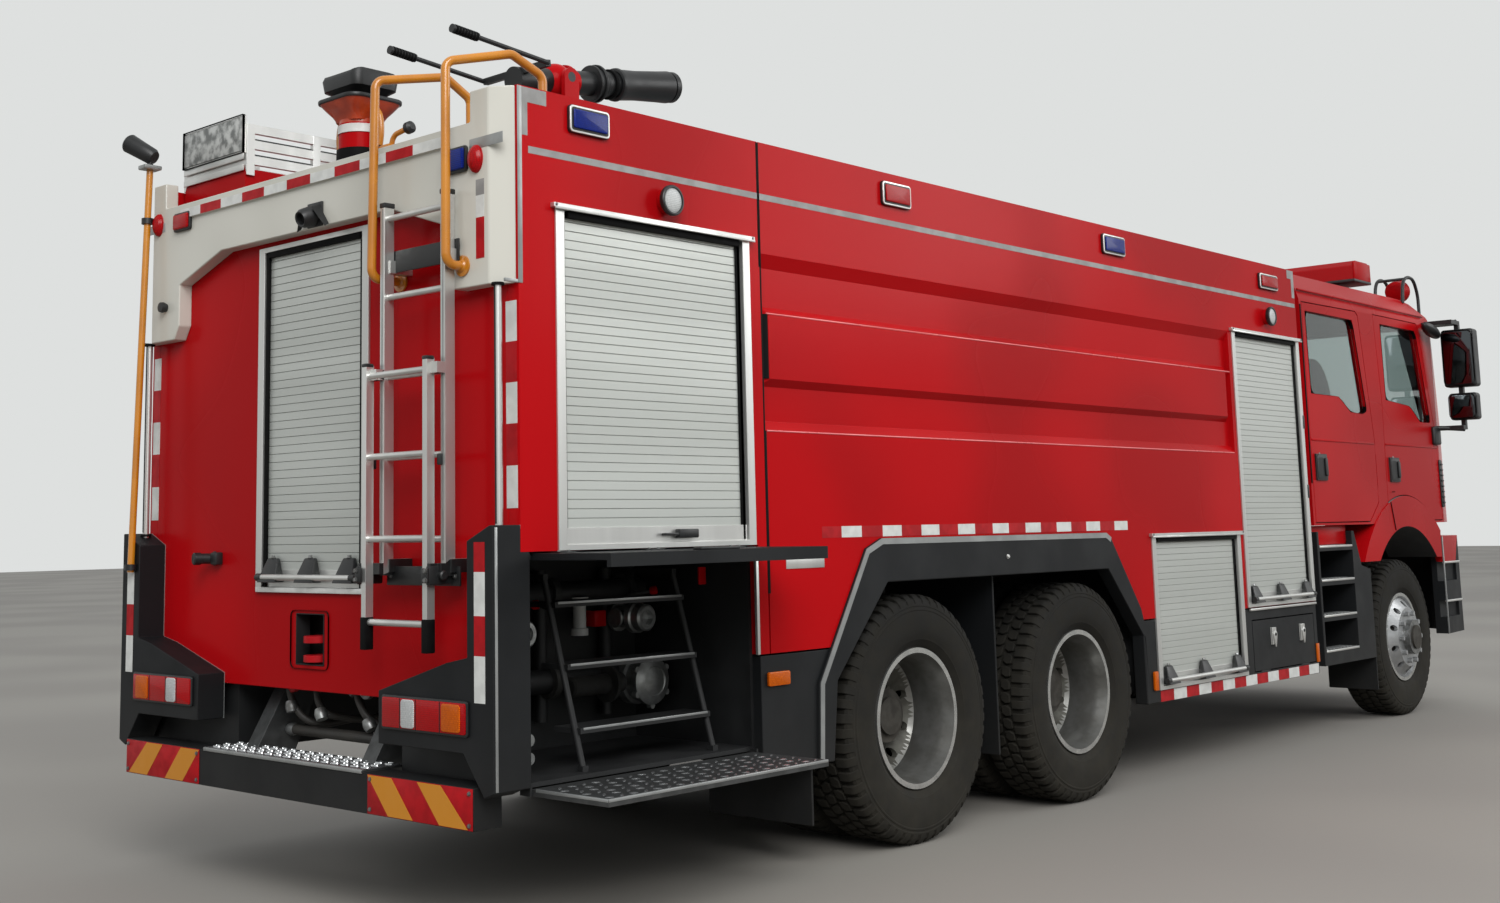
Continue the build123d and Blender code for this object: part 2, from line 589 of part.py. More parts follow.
def make_roof():
    """Walkway deck inside the parapet with two round fill lids."""
    inner = HALF_W - WALL - FIT
    deck = block((BODY_X0 + WALL, BODY_X1 - 30.0), (-inner, inner), (DECK_Z - DECK_T, DECK_Z))
    for x in (-2600.0, -300.0):
        deck += Pos(x, 0, DECK_Z + 30.0) * Cylinder(260.0, 60.0)
    deck += block((BODY_X1 - 30.0, BODY_X1), (-inner, inner), (FLOOR_Z, BODY_TOP - 20.0))
    save("roof_deck", deck)


def corner_moulding():
    """Dark moulding at the left rear corner with the boot of the tail lamp."""
    inner, rise = TAIL_LAMP_Y[0] - 31.0, HALF_W - BOOT_WALL
    boot = [(inner, 640.0), (inner, 826.0), (rise - 115.0, 938.0), (rise, 960.0), (rise, 1355.0),
            (HALF_W - 20.0, 1407.0), (HALF_W, 1407.0), (HALF_W, 520.0), (HALF_W - 50.0, 500.0), (HALF_W - 160.0, 640.0)]
    corner = cross_prism(boot, FAIRING_X, BODY_X0)
    edge = (BAY_MOUTH_Y + FIT, HALF_W)
    return corner + block((BODY_X0 - 20.0, BAY[0] - 4.0), edge, (520.0, BAY_LINTEL_Z - FIT))


def make_rear():
    """Rear wall with the shutter hole and tow recess, the pale frame and the dark corners."""
    ry = REAR_SHUTTER_Y + POST_W
    inner = HALF_W - WALL
    skin = (BODY_X0, BODY_X0 + WALL)
    between_bays = HALF_W - BAY_DEPTH - FIT
    wall = block(skin, (-inner, inner), (BAY[3] + BAY_T, DECK_Z))
    wall += block((BODY_X0, BAY[0] - BAY_T), (-inner, inner), (REAR_WALL_Z0, BAY[3] + BAY_T))
    wall += block(skin, (-between_bays, between_bays), (REAR_WALL_Z0, BAY[3] + BAY_T))
    through = (BODY_X0 - 1, BODY_X0 + WALL + 1)
    wall -= block(through, (-ry, ry), (REAR_SHUTTER_Z0 - 20.0, REAR_SHUTTER_Z1 + POST_W / 2))
    wall -= block(through, (-95.0, 95.0), (880.0, 1080.0))
    save("rear_panel", wall)
    # Pale frame: two pillars with chamfered outer corners under a header
    edge = HALF_W - 10.0
    legs = [(HALF_W - 110.0, PILLAR_Z0), (PILLAR_IN_Y + 40.0, PILLAR_Z0), (PILLAR_IN_Y, PILLAR_Z0 + 60.0),
            (PILLAR_IN_Y, 2490.0), (PILLAR_IN_Y - 340.0, HEADER_Z0)]
    ring = legs + [(-y, z) for y, z in reversed(legs)]
    top = [(-edge, HEADER_Z1 + 28.0), (edge, HEADER_Z1 + 28.0)]
    frame = cross_prism(ring + [(-edge, PILLAR_Z0)] + top + [(edge, PILLAR_Z0)], FRAME_X, BODY_X0)
    for out in (-1, 1):
        frame += block((FRAME_X, BODY_X0), sorted((out * (edge - 180.0), out * edge)), (HEADER_Z1, BODY_TOP))
        corner = [(FRAME_X - 1, out * (HALF_W - 90.0)), (FRAME_X - 1, out * (HALF_W + 1)),
                  (BODY_X0 + 1, out * (HALF_W + 1)), (BODY_X0 + 1, out * (HALF_W - 9.0))]
        frame -= plan_prism(corner, PILLAR_Z0 - 1, BODY_TOP + 1)
    strip = PILLAR_IN_Y - 14.0
    frame += block((FRAME_X - 12.0, FRAME_X), (-strip, strip), (2780.0, HEADER_Z1))
    save("rear_frame", frame)
    save("corner_mouldings", both(corner_moulding()))


def rear_bar():
    """Low cross bar with its checker step, carried from the chassis rails."""
    bar = block((BAR_X, BAR_X + BAR_DEPTH), (-BAR_HALF, BAR_HALF), (BAR_Z0, BAR_Z1))
    step = (-BAR_STEP_HALF, BAR_STEP_HALF)
    bar += block((BAR_X - 4.0, BAR_X + BAR_DEPTH + 60.0), step, (BAR_Z1, BAR_Z1 + 8.0))
    arm = [(BAR_X + BAR_DEPTH - 4.0, BAR_Z0 + 10.0), (BAR_X + BAR_DEPTH - 4.0, BAR_Z1 - 10.0),
           (-4600.0, RAIL_Z0), (-4450.0, RAIL_Z0), (-4640.0, BAR_Z0 + 60.0)]
    for out in (-1, 1):
        y = sorted((out * (RAIL_OUT_Y - RAIL_FLANGE), out * RAIL_OUT_Y))
        bar += side_prism(arm, y[0], y[1])
    return bar


def bay_shell():
    """Left pump bay, open outwards, with the pins that its two leaves turn on."""
    x0, x1, z0, z1 = BAY
    back = HALF_W - BAY_DEPTH
    shell = block((x0 - BAY_T, x1 + BAY_T), (back, BAY_MOUTH_Y), (z0 - BAY_T, z1 + BAY_T))
    shell -= block((x0, x1), (back + BAY_T, BAY_MOUTH_Y + 1), (z0, z1))
    lugs = ((FLAP_HINGE_Z, FLAP_HINGE_Z - 10.0, z1 + BAY_T), (BOARD_HINGE_Z, BOARD_HINGE_Z - 10.0, z0 - 6.0))
    for z, low, high in lugs:
        for a in (x0, x1 - 10.0):
            shell += block((a, a + 10.0), (BAY_MOUTH_Y - 20.0, LEAF_Y + 10.0), (low, high))
        shell += rod((x0, LEAF_Y, z), (x1, LEAF_Y, z), LEAF_PIN_R)
    return shell


def pump_set():
    """Suction and delivery valves on two manifolds against the left bay's inner wall."""
    xm = (BAY[0] + BAY[1]) / 2
    wall = HALF_W - BAY_DEPTH + BAY_T
    body = block((xm - 420.0, xm + 420.0), (wall, wall + 120.0), (760.0, 850.0))
    body += block((xm - 420.0, xm + 420.0), (wall, wall + 120.0), (1120.0, 1200.0))
    for x in (xm - 150.0, xm + 90.0):
        for z in (805.0, 1160.0):
            body += disc_y(x, wall + 100.0, wall + 260.0, z, 62.0)
            body += disc_y(x, wall + 240.0, wall + 280.0, z, 82.0)
            body += rod((x, wall + 170.0, z), (x, wall + 170.0, z + 120.0), 22.0)
    body += disc_y(xm + 330.0, wall, wall + 160.0, 985.0, 110.0)
    body += block((xm + 250.0, xm + 400.0), (wall, wall + 110.0), (840.0, 1130.0))
    return body


def bay_steps():
    """Steep ladder of three treads that stands on the left bay's sill."""
    x0, x1 = BAY[0] + 330.0, BAY[1] - 170.0
    foot, head = BAY_MOUTH_Y - 54.0, HALF_W - 300.0
    z0, z1 = BAY[2], 1225.0
    steps = None
    for x in (x0, x1):
        stile = rod((x, foot, z0 + 12.0), (x, head, z1 - 12.0), 12.0)
        stile += block((x - 14.0, x + 14.0), (foot - 14.0, foot + 14.0), (z0, z0 + 20.0))
        stile += block((x - 12.0, x + 12.0), (HALF_W - BAY_DEPTH + BAY_T, head + 12.0), (z1 - 20.0, z1))
        steps = stile if steps is None else steps + stile
    for k in (0.2, 0.52, 0.84):
        y = foot + (head - foot) * k
        z = z0 + (z1 - z0) * k
        steps += block((x0, x1), (y - 110.0, y + 30.0), (z - 10.0, z + 10.0))
    return steps


def make_bays():
    save("pump_bays", both(bay_shell()) + both(bay_steps()))
    save("pump_valves", both(pump_set()))


def leaf(side, z, reach, lip, open_out):
    """A leaf with a barrel on its hinge line and a lip along its free edge, open or closed."""
    y, half = side * LEAF_Y, LEAF_T / 2
    up = -1 if lip else 1
    if open_out:
        plate = block(LEAF_X, sorted((y, y + side * reach)), (z - half, z + half))
        if lip:
            plate += block(LEAF_X, sorted((y + side * (reach - 20.0), y + side * reach)), (z - lip, z))
    else:
        plate = block(LEAF_X, (y - half, y + half), sorted((z, z + up * reach)))
        if lip:
            plate += block(LEAF_X, sorted((y, y - side * lip)), (z - reach, z - reach + 20.0))
    plate += rod((LEAF_X[0], y, z), (LEAF_X[1], y, z), half)
    return plate - rod((LEAF_X[0] - 1, y, z), (LEAF_X[1] + 1, y, z), LEAF_PIN_R + RUNNING)


def make_leaves():
    """The right bay stands open and the left one is closed."""
    save("flap_right", leaf(-1, FLAP_HINGE_Z, FLAP_L, 34.0, True))
    save("flap_left", leaf(1, FLAP_HINGE_Z, FLAP_L, 34.0, False))
    save("step_board_right", leaf(-1, BOARD_HINGE_Z, BOARD_L, 0.0, True))
    save("step_board_left", leaf(1, BOARD_HINGE_Z, BOARD_L, 0.0, False))


def make_arches():
    """Dark surrounds over the twin wheels."""
    face, back = -(HALF_W + 12.0), -(HALF_W - WALL)
    save("arch_trim", both(side_prism(ARCH_OUT + ARCH_IN, face, back)))


def skirts():
    """Panels fore and aft of the right arch, below the wall."""
    face, back = -(HALF_W - 2.0), -(HALF_W - WALL)
    a0 = BAY[1] + BAY_T
    aft = side_prism([(a0, 483.0), (-3430.0, 483.0), (-3380.0, 432.0), (-3040.0, 432.0), (-3040.0, 878.0),
                      (a0, 878.0)], face, back)
    fore = side_prism([(-440.0, 419.0), (BODY_X1, SKIRT_Z), (BODY_X1, 852.0), (-440.0, 852.0)], face, back)
    a, b, c, d = SMALL_SHUTTER
    fore -= block((a - POST_W, b + POST_W), (face - 1, back + 1), (c - 20.0, d))
    fore -= block((TOOLBOX[0] - DOOR_GAP, TOOLBOX[1] + DOOR_GAP), (face - 1, back + 1),
                  (TOOLBOX[2] - DOOR_GAP, TOOLBOX[3] + DOOR_GAP))
    # Hinge leaves under the tool locker door
    for x in (TOOLBOX[0] + 150.0, TOOLBOX[1] - 150.0):
        z = (TOOLBOX[2] - DOOR_GAP - 2.0, TOOLBOX[2] - FIT)
        fore += block((x - 60.0, x + 60.0), (face, face + 28.0), z)
    arch = side_cut(ARCH_OUT, FIT, face - 1, back + 1)
    return [aft - arch, fore - arch]


def toolbox_door(side):
    y = sorted((side * (HALF_W - 2.0), side * (HALF_W - 30.0)))
    door = block((TOOLBOX[0], TOOLBOX[1]), y, (TOOLBOX[2], TOOLBOX[3]))
    for x in (TOOLBOX[0] + 270.0, TOOLBOX[1] - 190.0):
        door += block((x - 28.0, x + 28.0), sorted((side * (HALF_W - 2.0), side * (HALF_W + 10.0))),
                      (TOOLBOX[3] - 150.0, TOOLBOX[3] - 50.0))
    return door


def mudflaps():
    """Three sheets on the left side."""
    inner = HALF_W - WALL - 2.0
    return [block((FLAP_REAR_X, FLAP_REAR_X + MUD_T), (HALF_W - 630.0, inner), (170.0, 640.0)),
            block((FLAP_MID_X, FLAP_MID_X + MUD_T), (HALF_W - 690.0, inner), (300.0, FLOOR_Z)),
            block((HOUSE_X1, HOUSE_X1 + MUD_T), (HOUSE_IN_Y, CAB_HALF - 10.0), (230.0, 900.0))]


def cab_steps():
    """Left step house behind the front wheel with four recessed treads."""
    outline = [(1990.0, 445.0), (HOUSE_X1, 445.0), (HOUSE_X1, 1030.0), (2700.0, 1060.0), (2600.0, 1290.0),
               (1990.0, 1290.0)]
    house = side_prism(outline, HOUSE_IN_Y, CAB_HALF - 4.0)
    for z0, z1 in ((540.0, 720.0), (760.0, 945.0), (985.0, 1165.0), (1200.0, 1291.0)):
        house -= block((2020.0, 2560.0), (HOUSE_IN_Y + 100.0, CAB_HALF), (z0, z1))
    return house + block((2100.0, 2200.0), (RAIL_OUT_Y, HOUSE_IN_Y), (900.0, 1000.0))


def make_lower_trim():
    """Skirts, mudflaps and step houses of both sides."""
    shapes = []
    for piece in skirts() + mudflaps() + [cab_steps()]:
        shapes += both(piece)
    save("lower_trim", shapes)


# Fittings on the body

def make_lamps():
    """Tail lamps, headlamps, marker lamps in raised bezels and round work lamps along both sides."""
    shapes = both(block((FAIRING_X - LAMP_T, FAIRING_X), TAIL_LAMP_Y, (695.0, 816.0)))
    for x0, x1, z0, z1 in ((-4547.0, -4341.0, 2829.0, 2934.0), (-2624.0, -2405.0, 2812.0, 2923.0),
                           (-635.0, -396.0, 2808.0, 2917.0), (1317.0, 1579.0, 2801.0, 2900.0)):
        lamp = block((x0, x1), (-(HALF_W + 26.0), -HALF_W), (z0, z1))
        shapes += both(chamfer(lamp.faces().sort_by(Axis.Y)[0].edges(), 9.0))
    for x, z in ((-4034.0, 2637.0), (1394.0, 2627.0)):
        lamp = disc_y(x, -HALF_W, -(HALF_W + 50.0), z, 58.0)
        shapes += both(lamp)
    lamp = block((HEADLAMP_BACK + FIT, HEADLAMP_BACK + HEADLAMP_T), (HEADLAMP_Y[0] + FIT, HEADLAMP_Y[1] - FIT),
                 (HEADLAMP_Z[0] + FIT, HEADLAMP_Z[1] - FIT))
    shapes += both(chamfer(lamp.faces().sort_by(Axis.X)[-1].edges(), 9.0))
    save("lamps", shapes)


def make_rails():
    """Orange handrails over the rear edge and the tall pole at the left corner."""
    r = 17.0
    near, far, outer = LADDER_Y[1] + 50.0, LADDER_Y[0] - 37.0, HALF_W - 100.0
    first = bent_tube([(BODY_X0, near, 2330.0), (-4925.0, near, 2330.0), (-4925.0, near - 20.0, 3085.0),
                       (-4660.0, near - 110.0, 3130.0), (-4545.0, near - 120.0, 3060.0),
                       (-4545.0, near - 120.0, DECK_Z)], 40.0, r)
    second = bent_tube([(FRAME_X, far, 2330.0), (-4928.0, far, 2330.0), (-4928.0, far, 3070.0),
                        (-4690.0, far - 88.0, 3125.0), (-4555.0, far - 108.0, 3060.0),
                        (-4555.0, far - 108.0, DECK_Z)], 40.0, r)
    pole = rod((-4931.0, outer, 1240.0), (-4880.0, outer, 3040.0), 15.0)
    pole += block((-4931.0, FAIRING_X), (outer - 10.0, outer + 10.0), (1250.0, 1275.0))
    pole += block((-4887.0, FRAME_X), (outer - 10.0, outer + 10.0), (2790.0, 2812.0))
    save("handrails", [first, second, pole])


def ladder(x, z0, z1, left, right, rungs, stile):
    """Two box stiles between two heights, and round rungs."""
    parts = None
    for y in (left, right):
        s = block((x - stile / 2, x + stile / 2), (y - STILE_HALF, y + STILE_HALF), (z0, z1))
        parts = s if parts is None else parts + s
    for z in rungs:
        parts += disc_y(x, left, right, z, RUNG_R)
    return parts


def make_ladders():
    """Fixed upper ladder on stand-offs, and the lower section that slides down in its runners."""
    left, right = LADDER_Y
    stile, slim = 44.0, 34.0
    rungs = [1067.0 + RUNG_PITCH * k for k in range(1, 6)]
    upper = ladder(LADDER_X, 1235.0, 2600.0, left, right, rungs, stile)
    # Stand-offs, as height, position across and what they reach
    for z, y, reach in ((2370.0, left, FRAME_X), (2370.0, right, BODY_X0), (1270.0, left, BODY_X0),
                        (1270.0, right, BODY_X0)):
        upper += block((LADDER_X, reach), (y - 20.0, y + 20.0), (z - 24.0, z + 24.0))
    # Runners at the foot, behind and outside each sliding stile
    slide_x = LADDER_X - SLIDE_STEP
    back = slide_x + slim / 2 + FIT
    for y, side in ((left, -1), (right, 1)):
        near, far = y + SLIDE_SHIFT + side * (STILE_HALF + FIT), y + SLIDE_SHIFT + side * (STILE_HALF + 18.0)
        upper += block((back, LADDER_X - stile / 2 + 1.0), sorted((y - STILE_HALF, far)), (1240.0, 1280.0))
        upper += block((slide_x - slim / 2, LADDER_X - stile / 2), sorted((near, far)), (1240.0, 1280.0))
    save("ladder_upper", upper)
    lower = ladder(slide_x, 975.0, 2000.0, left + SLIDE_SHIFT, right + SLIDE_SHIFT,
                   [1070.0 + RUNG_PITCH * k for k in range(4)], slim)
    for y in (left, right):
        across = (y - STILE_HALF, y + SLIDE_SHIFT + STILE_HALF)
        lower += block((slide_x, LADDER_X - stile / 2 - FIT), across, (1945.0, 1985.0))
    save("ladder_lower", lower)


def make_roof_gear():
    """Rack at the left rear, and the lamp mast in the middle with the cannon's riser."""
    rack = None
    x0, x1, y0, y1 = -4700.0, -4010.0, HALF_W - 600.0, HALF_W - 100.0
    base = block((x0, x1), (y0, y1), (DECK_Z, DECK_Z + 130.0))
    for z in (3010.0, 3080.0, 3150.0):
        for y in (y0, y1):
            bar = block((x0, x1), (y - 10.0, y + 10.0), (z, z + 40.0))
            rack = bar if rack is None else rack + bar
        for x in (x0, x1 - 20.0):
            rack += block((x, x + 20.0), (y0, y1), (z, z + 40.0))
    for x in (x0, (x0 + x1) / 2, x1 - 40.0):
        for y in (y0, y1):
            rack += block((x, x + 40.0), (y - 12.0, y + 12.0), (DECK_Z + 100.0, 3190.0))
    rack += block((x0 - 6.0, x0 + 6.0), (y0, y1), (3060.0, 3230.0))
    save("roof_rack", rack + base)
    mast = Pos(MAST_X, 0, DECK_Z + 30.0) * Cylinder(95.0, 60.0)
    mast += Pos(MAST_X, 0, DECK_Z + MAST_H / 2) * Cylinder(88.0, MAST_H)
    riser = Pos(CANNON_X, 0, DECK_Z + 15.0) * Cylinder(150.0, 30.0)
    riser += Pos(CANNON_X, 0, (DECK_Z + RISER_Z) / 2) * Cylinder(75.0, RISER_Z - DECK_Z)
    save("roof_bases", [mast, riser])
    z = DECK_Z + MAST_H + FIT
    head = Pos(MAST_X, 0, z + 20.0) * Cylinder(88.0, 40.0)
    head += Pos(MAST_X, 0, z + 80.0) * Cone(100.0, 190.0, 80.0)
    head += Pos(MAST_X, 0, z + 130.0) * Cylinder(195.0, 20.0)
    head += Pos(MAST_X, 0, z + 165.0) * Cylinder(60.0, 60.0)
    head += block((MAST_X - 150.0, MAST_X + 160.0), (-170.0, 170.0), (z + 185.0, z + 280.0))
    save("mast_head", head)


def make_cannon():
    """Turning base with two cheeks, and the tilting barrel with its two control bars."""
    z0 = RISER_Z + FIT
    turret = Pos(CANNON_X, 0, z0 + 12.5) * Cylinder(130.0, 25.0)
    turret += Pos(CANNON_X, 0, z0 + 30.0) * Cylinder(80.0, 60.0)
    for out in (-1, 1):
        y = sorted((out * CHEEK_Y[0], out * CHEEK_Y[1]))
        turret += block((CANNON_X - 45.0, CANNON_X + 45.0), y, (z0 + 10.0, CANNON_Z))
        turret += disc_y(CANNON_X, y[0], y[1], CANNON_Z, 45.0)
    turret -= disc_y(CANNON_X, -CHEEK_Y[1] - 1, CHEEK_Y[1] + 1, CANNON_Z, TRUNNION_R + RUNNING)
    save("cannon_turret", turret)
    place = Pos(CANNON_X, 0, CANNON_Z) * Rot(0, -CANNON_TILT, 0)
    barrel = Sphere(86.0) + disc_y(0, -CHEEK_Y[1], CHEEK_Y[1], 0, TRUNNION_R)
    # Sections of the barrel, as distance from, distance to and radius
    for a, b, r in ((-260.0, 0.0, 62.0), (0.0, 250.0, 58.0), (230.0, 280.0, 82.0), (280.0, 420.0, 62.0),
                    (400.0, 790.0, 72.0), (780.0, 810.0, 78.0)):
        barrel += Pos((a + b) / 2, 0, 0) * Rot(0, 90, 0) * Cylinder(r, b - a)
    barrel -= Pos(640.0, 0, 0) * Rot(0, 90, 0) * Cylinder(52.0, 400.0)
    barrel += block((-250.0, -220.0), (-218.0, 218.0), (20.0, 50.0))
    for out in (-1, 1):
        barrel += rod((-235.0, out * 218.0, 35.0), (-770.0, out * 218.0, 160.0), 11.0)
        barrel += rod((-640.0, out * 218.0, 129.6), (-780.0, out * 218.0, 162.0), 19.0)
    save("cannon_barrel", place * barrel)


# Cab

SIDE_LINE = [(CAB_X0, CAB_Z0), (CAB_X0, 2900.0), (2060.0, CAB_TOP), (3900.0, CAB_TOP), (4200.0, 2960.0),
             (4340.0, 2850.0), (4640.0, 1960.0), (4800.0, 1880.0), (CAB_X1, 1700.0), (CAB_X1, CAB_Z0)]
FRONT_SIDE = [(CAB_HALF, CAB_Z0), (CAB_HALF, 2790.0), (CAB_HALF - 20.0, 2863.0), (CAB_HALF - 110.0, 2985.0),
              (CAB_HALF - 340.0, CAB_TOP)]
FRONT_LINE = [(-y, z) for y, z in FRONT_SIDE] + FRONT_SIDE[::-1]
PLAN_SIDE = [(CAB_X0, CAB_HALF), (4330.0, CAB_HALF), (4600.0, CAB_HALF - 70.0), (4790.0, CAB_HALF - 280.0),
             (4860.0, CAB_HALF - 640.0)]
PLAN_LINE = [(x, -y) for x, y in PLAN_SIDE] + [(CAB_X1, 0.0)] + PLAN_SIDE[::-1]


def moved_in(points, centre, inset):
    """Points brought in by a distance on each axis."""
    def step(value, middle):
        return value if value == middle else value - inset * (1 if value > middle else -1)
    return [(step(u, centre[0]), step(v, centre[1])) for u, v in points]


def cab_form(inset):
    """Cab volume as the common part of its side, front and plan outlines."""
    side = moved_in(SIDE_LINE, (3300.0, 1800.0), inset)
    front = moved_in(FRONT_LINE, (0.0, 1800.0), inset)
    plan = moved_in(PLAN_LINE, (3300.0, 0.0), inset)
    form = side_prism(side, -CAB_HALF - 5.0, CAB_HALF + 5.0)
    form = form & cross_prism(front, CAB_X0 - 5.0, CAB_X1 + 5.0)
    return form & plan_prism(plan, CAB_Z0 - 5.0, CAB_TOP + 5.0)


REAR_DOOR = [(1990.0, 1350.0), (2900.0, 1350.0), (REAR_HINGE_X, 1480.0), (REAR_HINGE_X, 1900.0), (2930.0, 2760.0),
             (2890.0, 2785.0), (1990.0, 2775.0)]
REAR_WINDOW = [(2050.0, 2182.0), (2036.0, 2721.0), (2827.0, 2721.0), (2975.0, 2100.0), (2900.0, 2080.0),
               (2689.0, 2085.0), (2503.0, 2182.0)]
FRONT_DOOR = [(3245.0, 1350.0), (FRONT_HINGE_X, 1350.0), (FRONT_HINGE_X, 1900.0), (4080.0, 2760.0),
              (4050.0, 2790.0), (3215.0, 2790.0), (3270.0, 2200.0)]
FRONT_WINDOW = [(3345.0, 2195.0), (3334.0, 2734.0), (4020.0, 2734.0), (4200.0, 2062.0), (3990.0, 2062.0),
                (3801.0, 2171.0)]
WINDOW_FIT = 0.3


def grown(points, d):
    """An outline with its edge moved out by a distance."""
    return offset(make_face(Polyline(*points, close=True)), amount=d, kind=Kind.INTERSECTION)


def side_cut(points, d, y0, y1):
    plane = Plane(origin=(0, y1, 0), x_dir=(1, 0, 0), z_dir=(0, -1, 0))
    return extrude(plane * grown(points, d), amount=y1 - y0, dir=(0, -1, 0))


def wheel_circle(r):
    """Round space over the front wheel, through the whole width."""
    return disc_y(AXLE_FRONT_X, -CAB_HALF - 60.0, CAB_HALF + 60.0, TYRE_R, r)


def make_cab():
    outer, inner = cab_form(0.0), cab_form(CAB_WALL)
    wide = (CAB_HALF - CAB_WALL - 30.0, CAB_HALF + 40.0)
    shell = outer - inner
    for out in (-1, 1):
        y0, y1 = sorted((out * wide[0], out * wide[1]))
        for line in (REAR_DOOR, FRONT_DOOR):
            shell -= side_cut(line, DOOR_GAP, y0, y1)
    screen = [(-SCREEN_LOW, 2010.0), (-SCREEN_HIGH, 2780.0), (SCREEN_HIGH, 2780.0), (SCREEN_LOW, 2010.0)]
    pane = cross_prism(screen, 4150.0, 5000.0)
    shell -= pane
    back = [(-700.0, 2200.0), (-700.0, 2700.0), (700.0, 2700.0), (700.0, 2200.0)]
    shell -= cross_prism(back, CAB_X0 - 10.0, CAB_X0 + CAB_WALL + 10.0)
    arch = wheel_circle(GUARD_R - 20.0)
    shell -= arch & (block((2000.0, 4400.0), (-CAB_HALF - 60.0, -HOUSE_IN_Y), (1000.0, 1600.0)) +
                     block((2000.0, 4400.0), (HOUSE_IN_Y, CAB_HALF + 60.0), (1000.0, 1600.0)))
    # Hinge leaves on the pillars, against the front edge of each door
    for out in (-1, 1):
        y = sorted((out * (CAB_HALF - CAB_WALL), out * CAB_HALF))
        for x in (REAR_HINGE_X, FRONT_HINGE_X):
            for z in HINGE_ZS:
                shell += block((x + FIT, x + DOOR_GAP + 2.0), y, (z - HINGE_H / 2, z + HINGE_H / 2))
    # Wheel guards over the front wheels, and the arms of the tilt hinge
    keep = side_prism([(2460.0, 1080.0), (4215.0, 1080.0), (4215.0, 1252.0), (4360.0, 1700.0), (2460.0, 1700.0)],
                      -CAB_HALF - 20.0, CAB_HALF + 20.0)
    tilt_arm = [(TILT_X + u, TILT_Z + v) for u, v in TILT_ARM]
    for out in (-1, 1):
        y0, y1 = sorted((out * HOUSE_IN_Y, out * (CAB_HALF + 6.0)))
        ring = disc_y(AXLE_FRONT_X, y0, y1, TYRE_R, GUARD_R)
        ring -= disc_y(AXLE_FRONT_X, y0 - 1, y1 + 1, TYRE_R, ARCH_R)
        shell += ring & keep
        y0, y1 = sorted((out * (RAIL_OUT_Y + 12.0), out * (RAIL_OUT_Y + 60.0)))
        shell += side_prism(tilt_arm, y0, y1)
        shell += disc_y(TILT_X, out * (RAIL_OUT_Y - RAIL_FLANGE), out * (RAIL_OUT_Y + 20.0), TILT_Z, TILT_R)
    save("cab_shell", shell)
    # Glass in the windscreen and the back window
    thick = cab_form(20.0) - cab_form(20.0 + GLASS_T)
    front_glass = thick & cross_prism([(y * (1.0 - WINDOW_FIT / 1000.0), z) for y, z in screen], 4150.0, 5000.0)
    behind = (CAB_X0 + 20.0, CAB_X0 + 20.0 + GLASS_T)
    back_glass = block(behind, (-700.0 + FIT, 700.0 - FIT), (2200.0 + FIT, 2700.0 - FIT))
    save("cab_glass", [front_glass, back_glass])
    # Doors cut from the same walls, and their panes
    clear = wheel_circle(GUARD_R + DOOR_GAP)
    for tag, out in (("right", -1), ("left", 1)):
        y0, y1 = sorted((out * (CAB_HALF - CAB_WALL), out * CAB_HALF))
        for row, line, window in (("rear", REAR_DOOR, REAR_WINDOW), ("front", FRONT_DOOR, FRONT_WINDOW)):
            door = side_cut(line, 0.0, y0, y1) - side_cut(window, 0.0, y0 - 1, y1 + 1) - clear
            lo, hi = (2030.0, 2200.0) if row == "rear" else (3310.0, 3480.0)
            door += block((lo, hi), sorted((out * CAB_HALF, out * (CAB_HALF + 14.0))), (1620.0, 1790.0))
            save("door_" + row + "_" + tag, door)
            g0, g1 = sorted((out * (CAB_HALF - 20.0), out * (CAB_HALF - 20.0 - GLASS_T)))
            save("pane_" + row + "_" + tag, side_cut(window, -WINDOW_FIT, g0, g1))


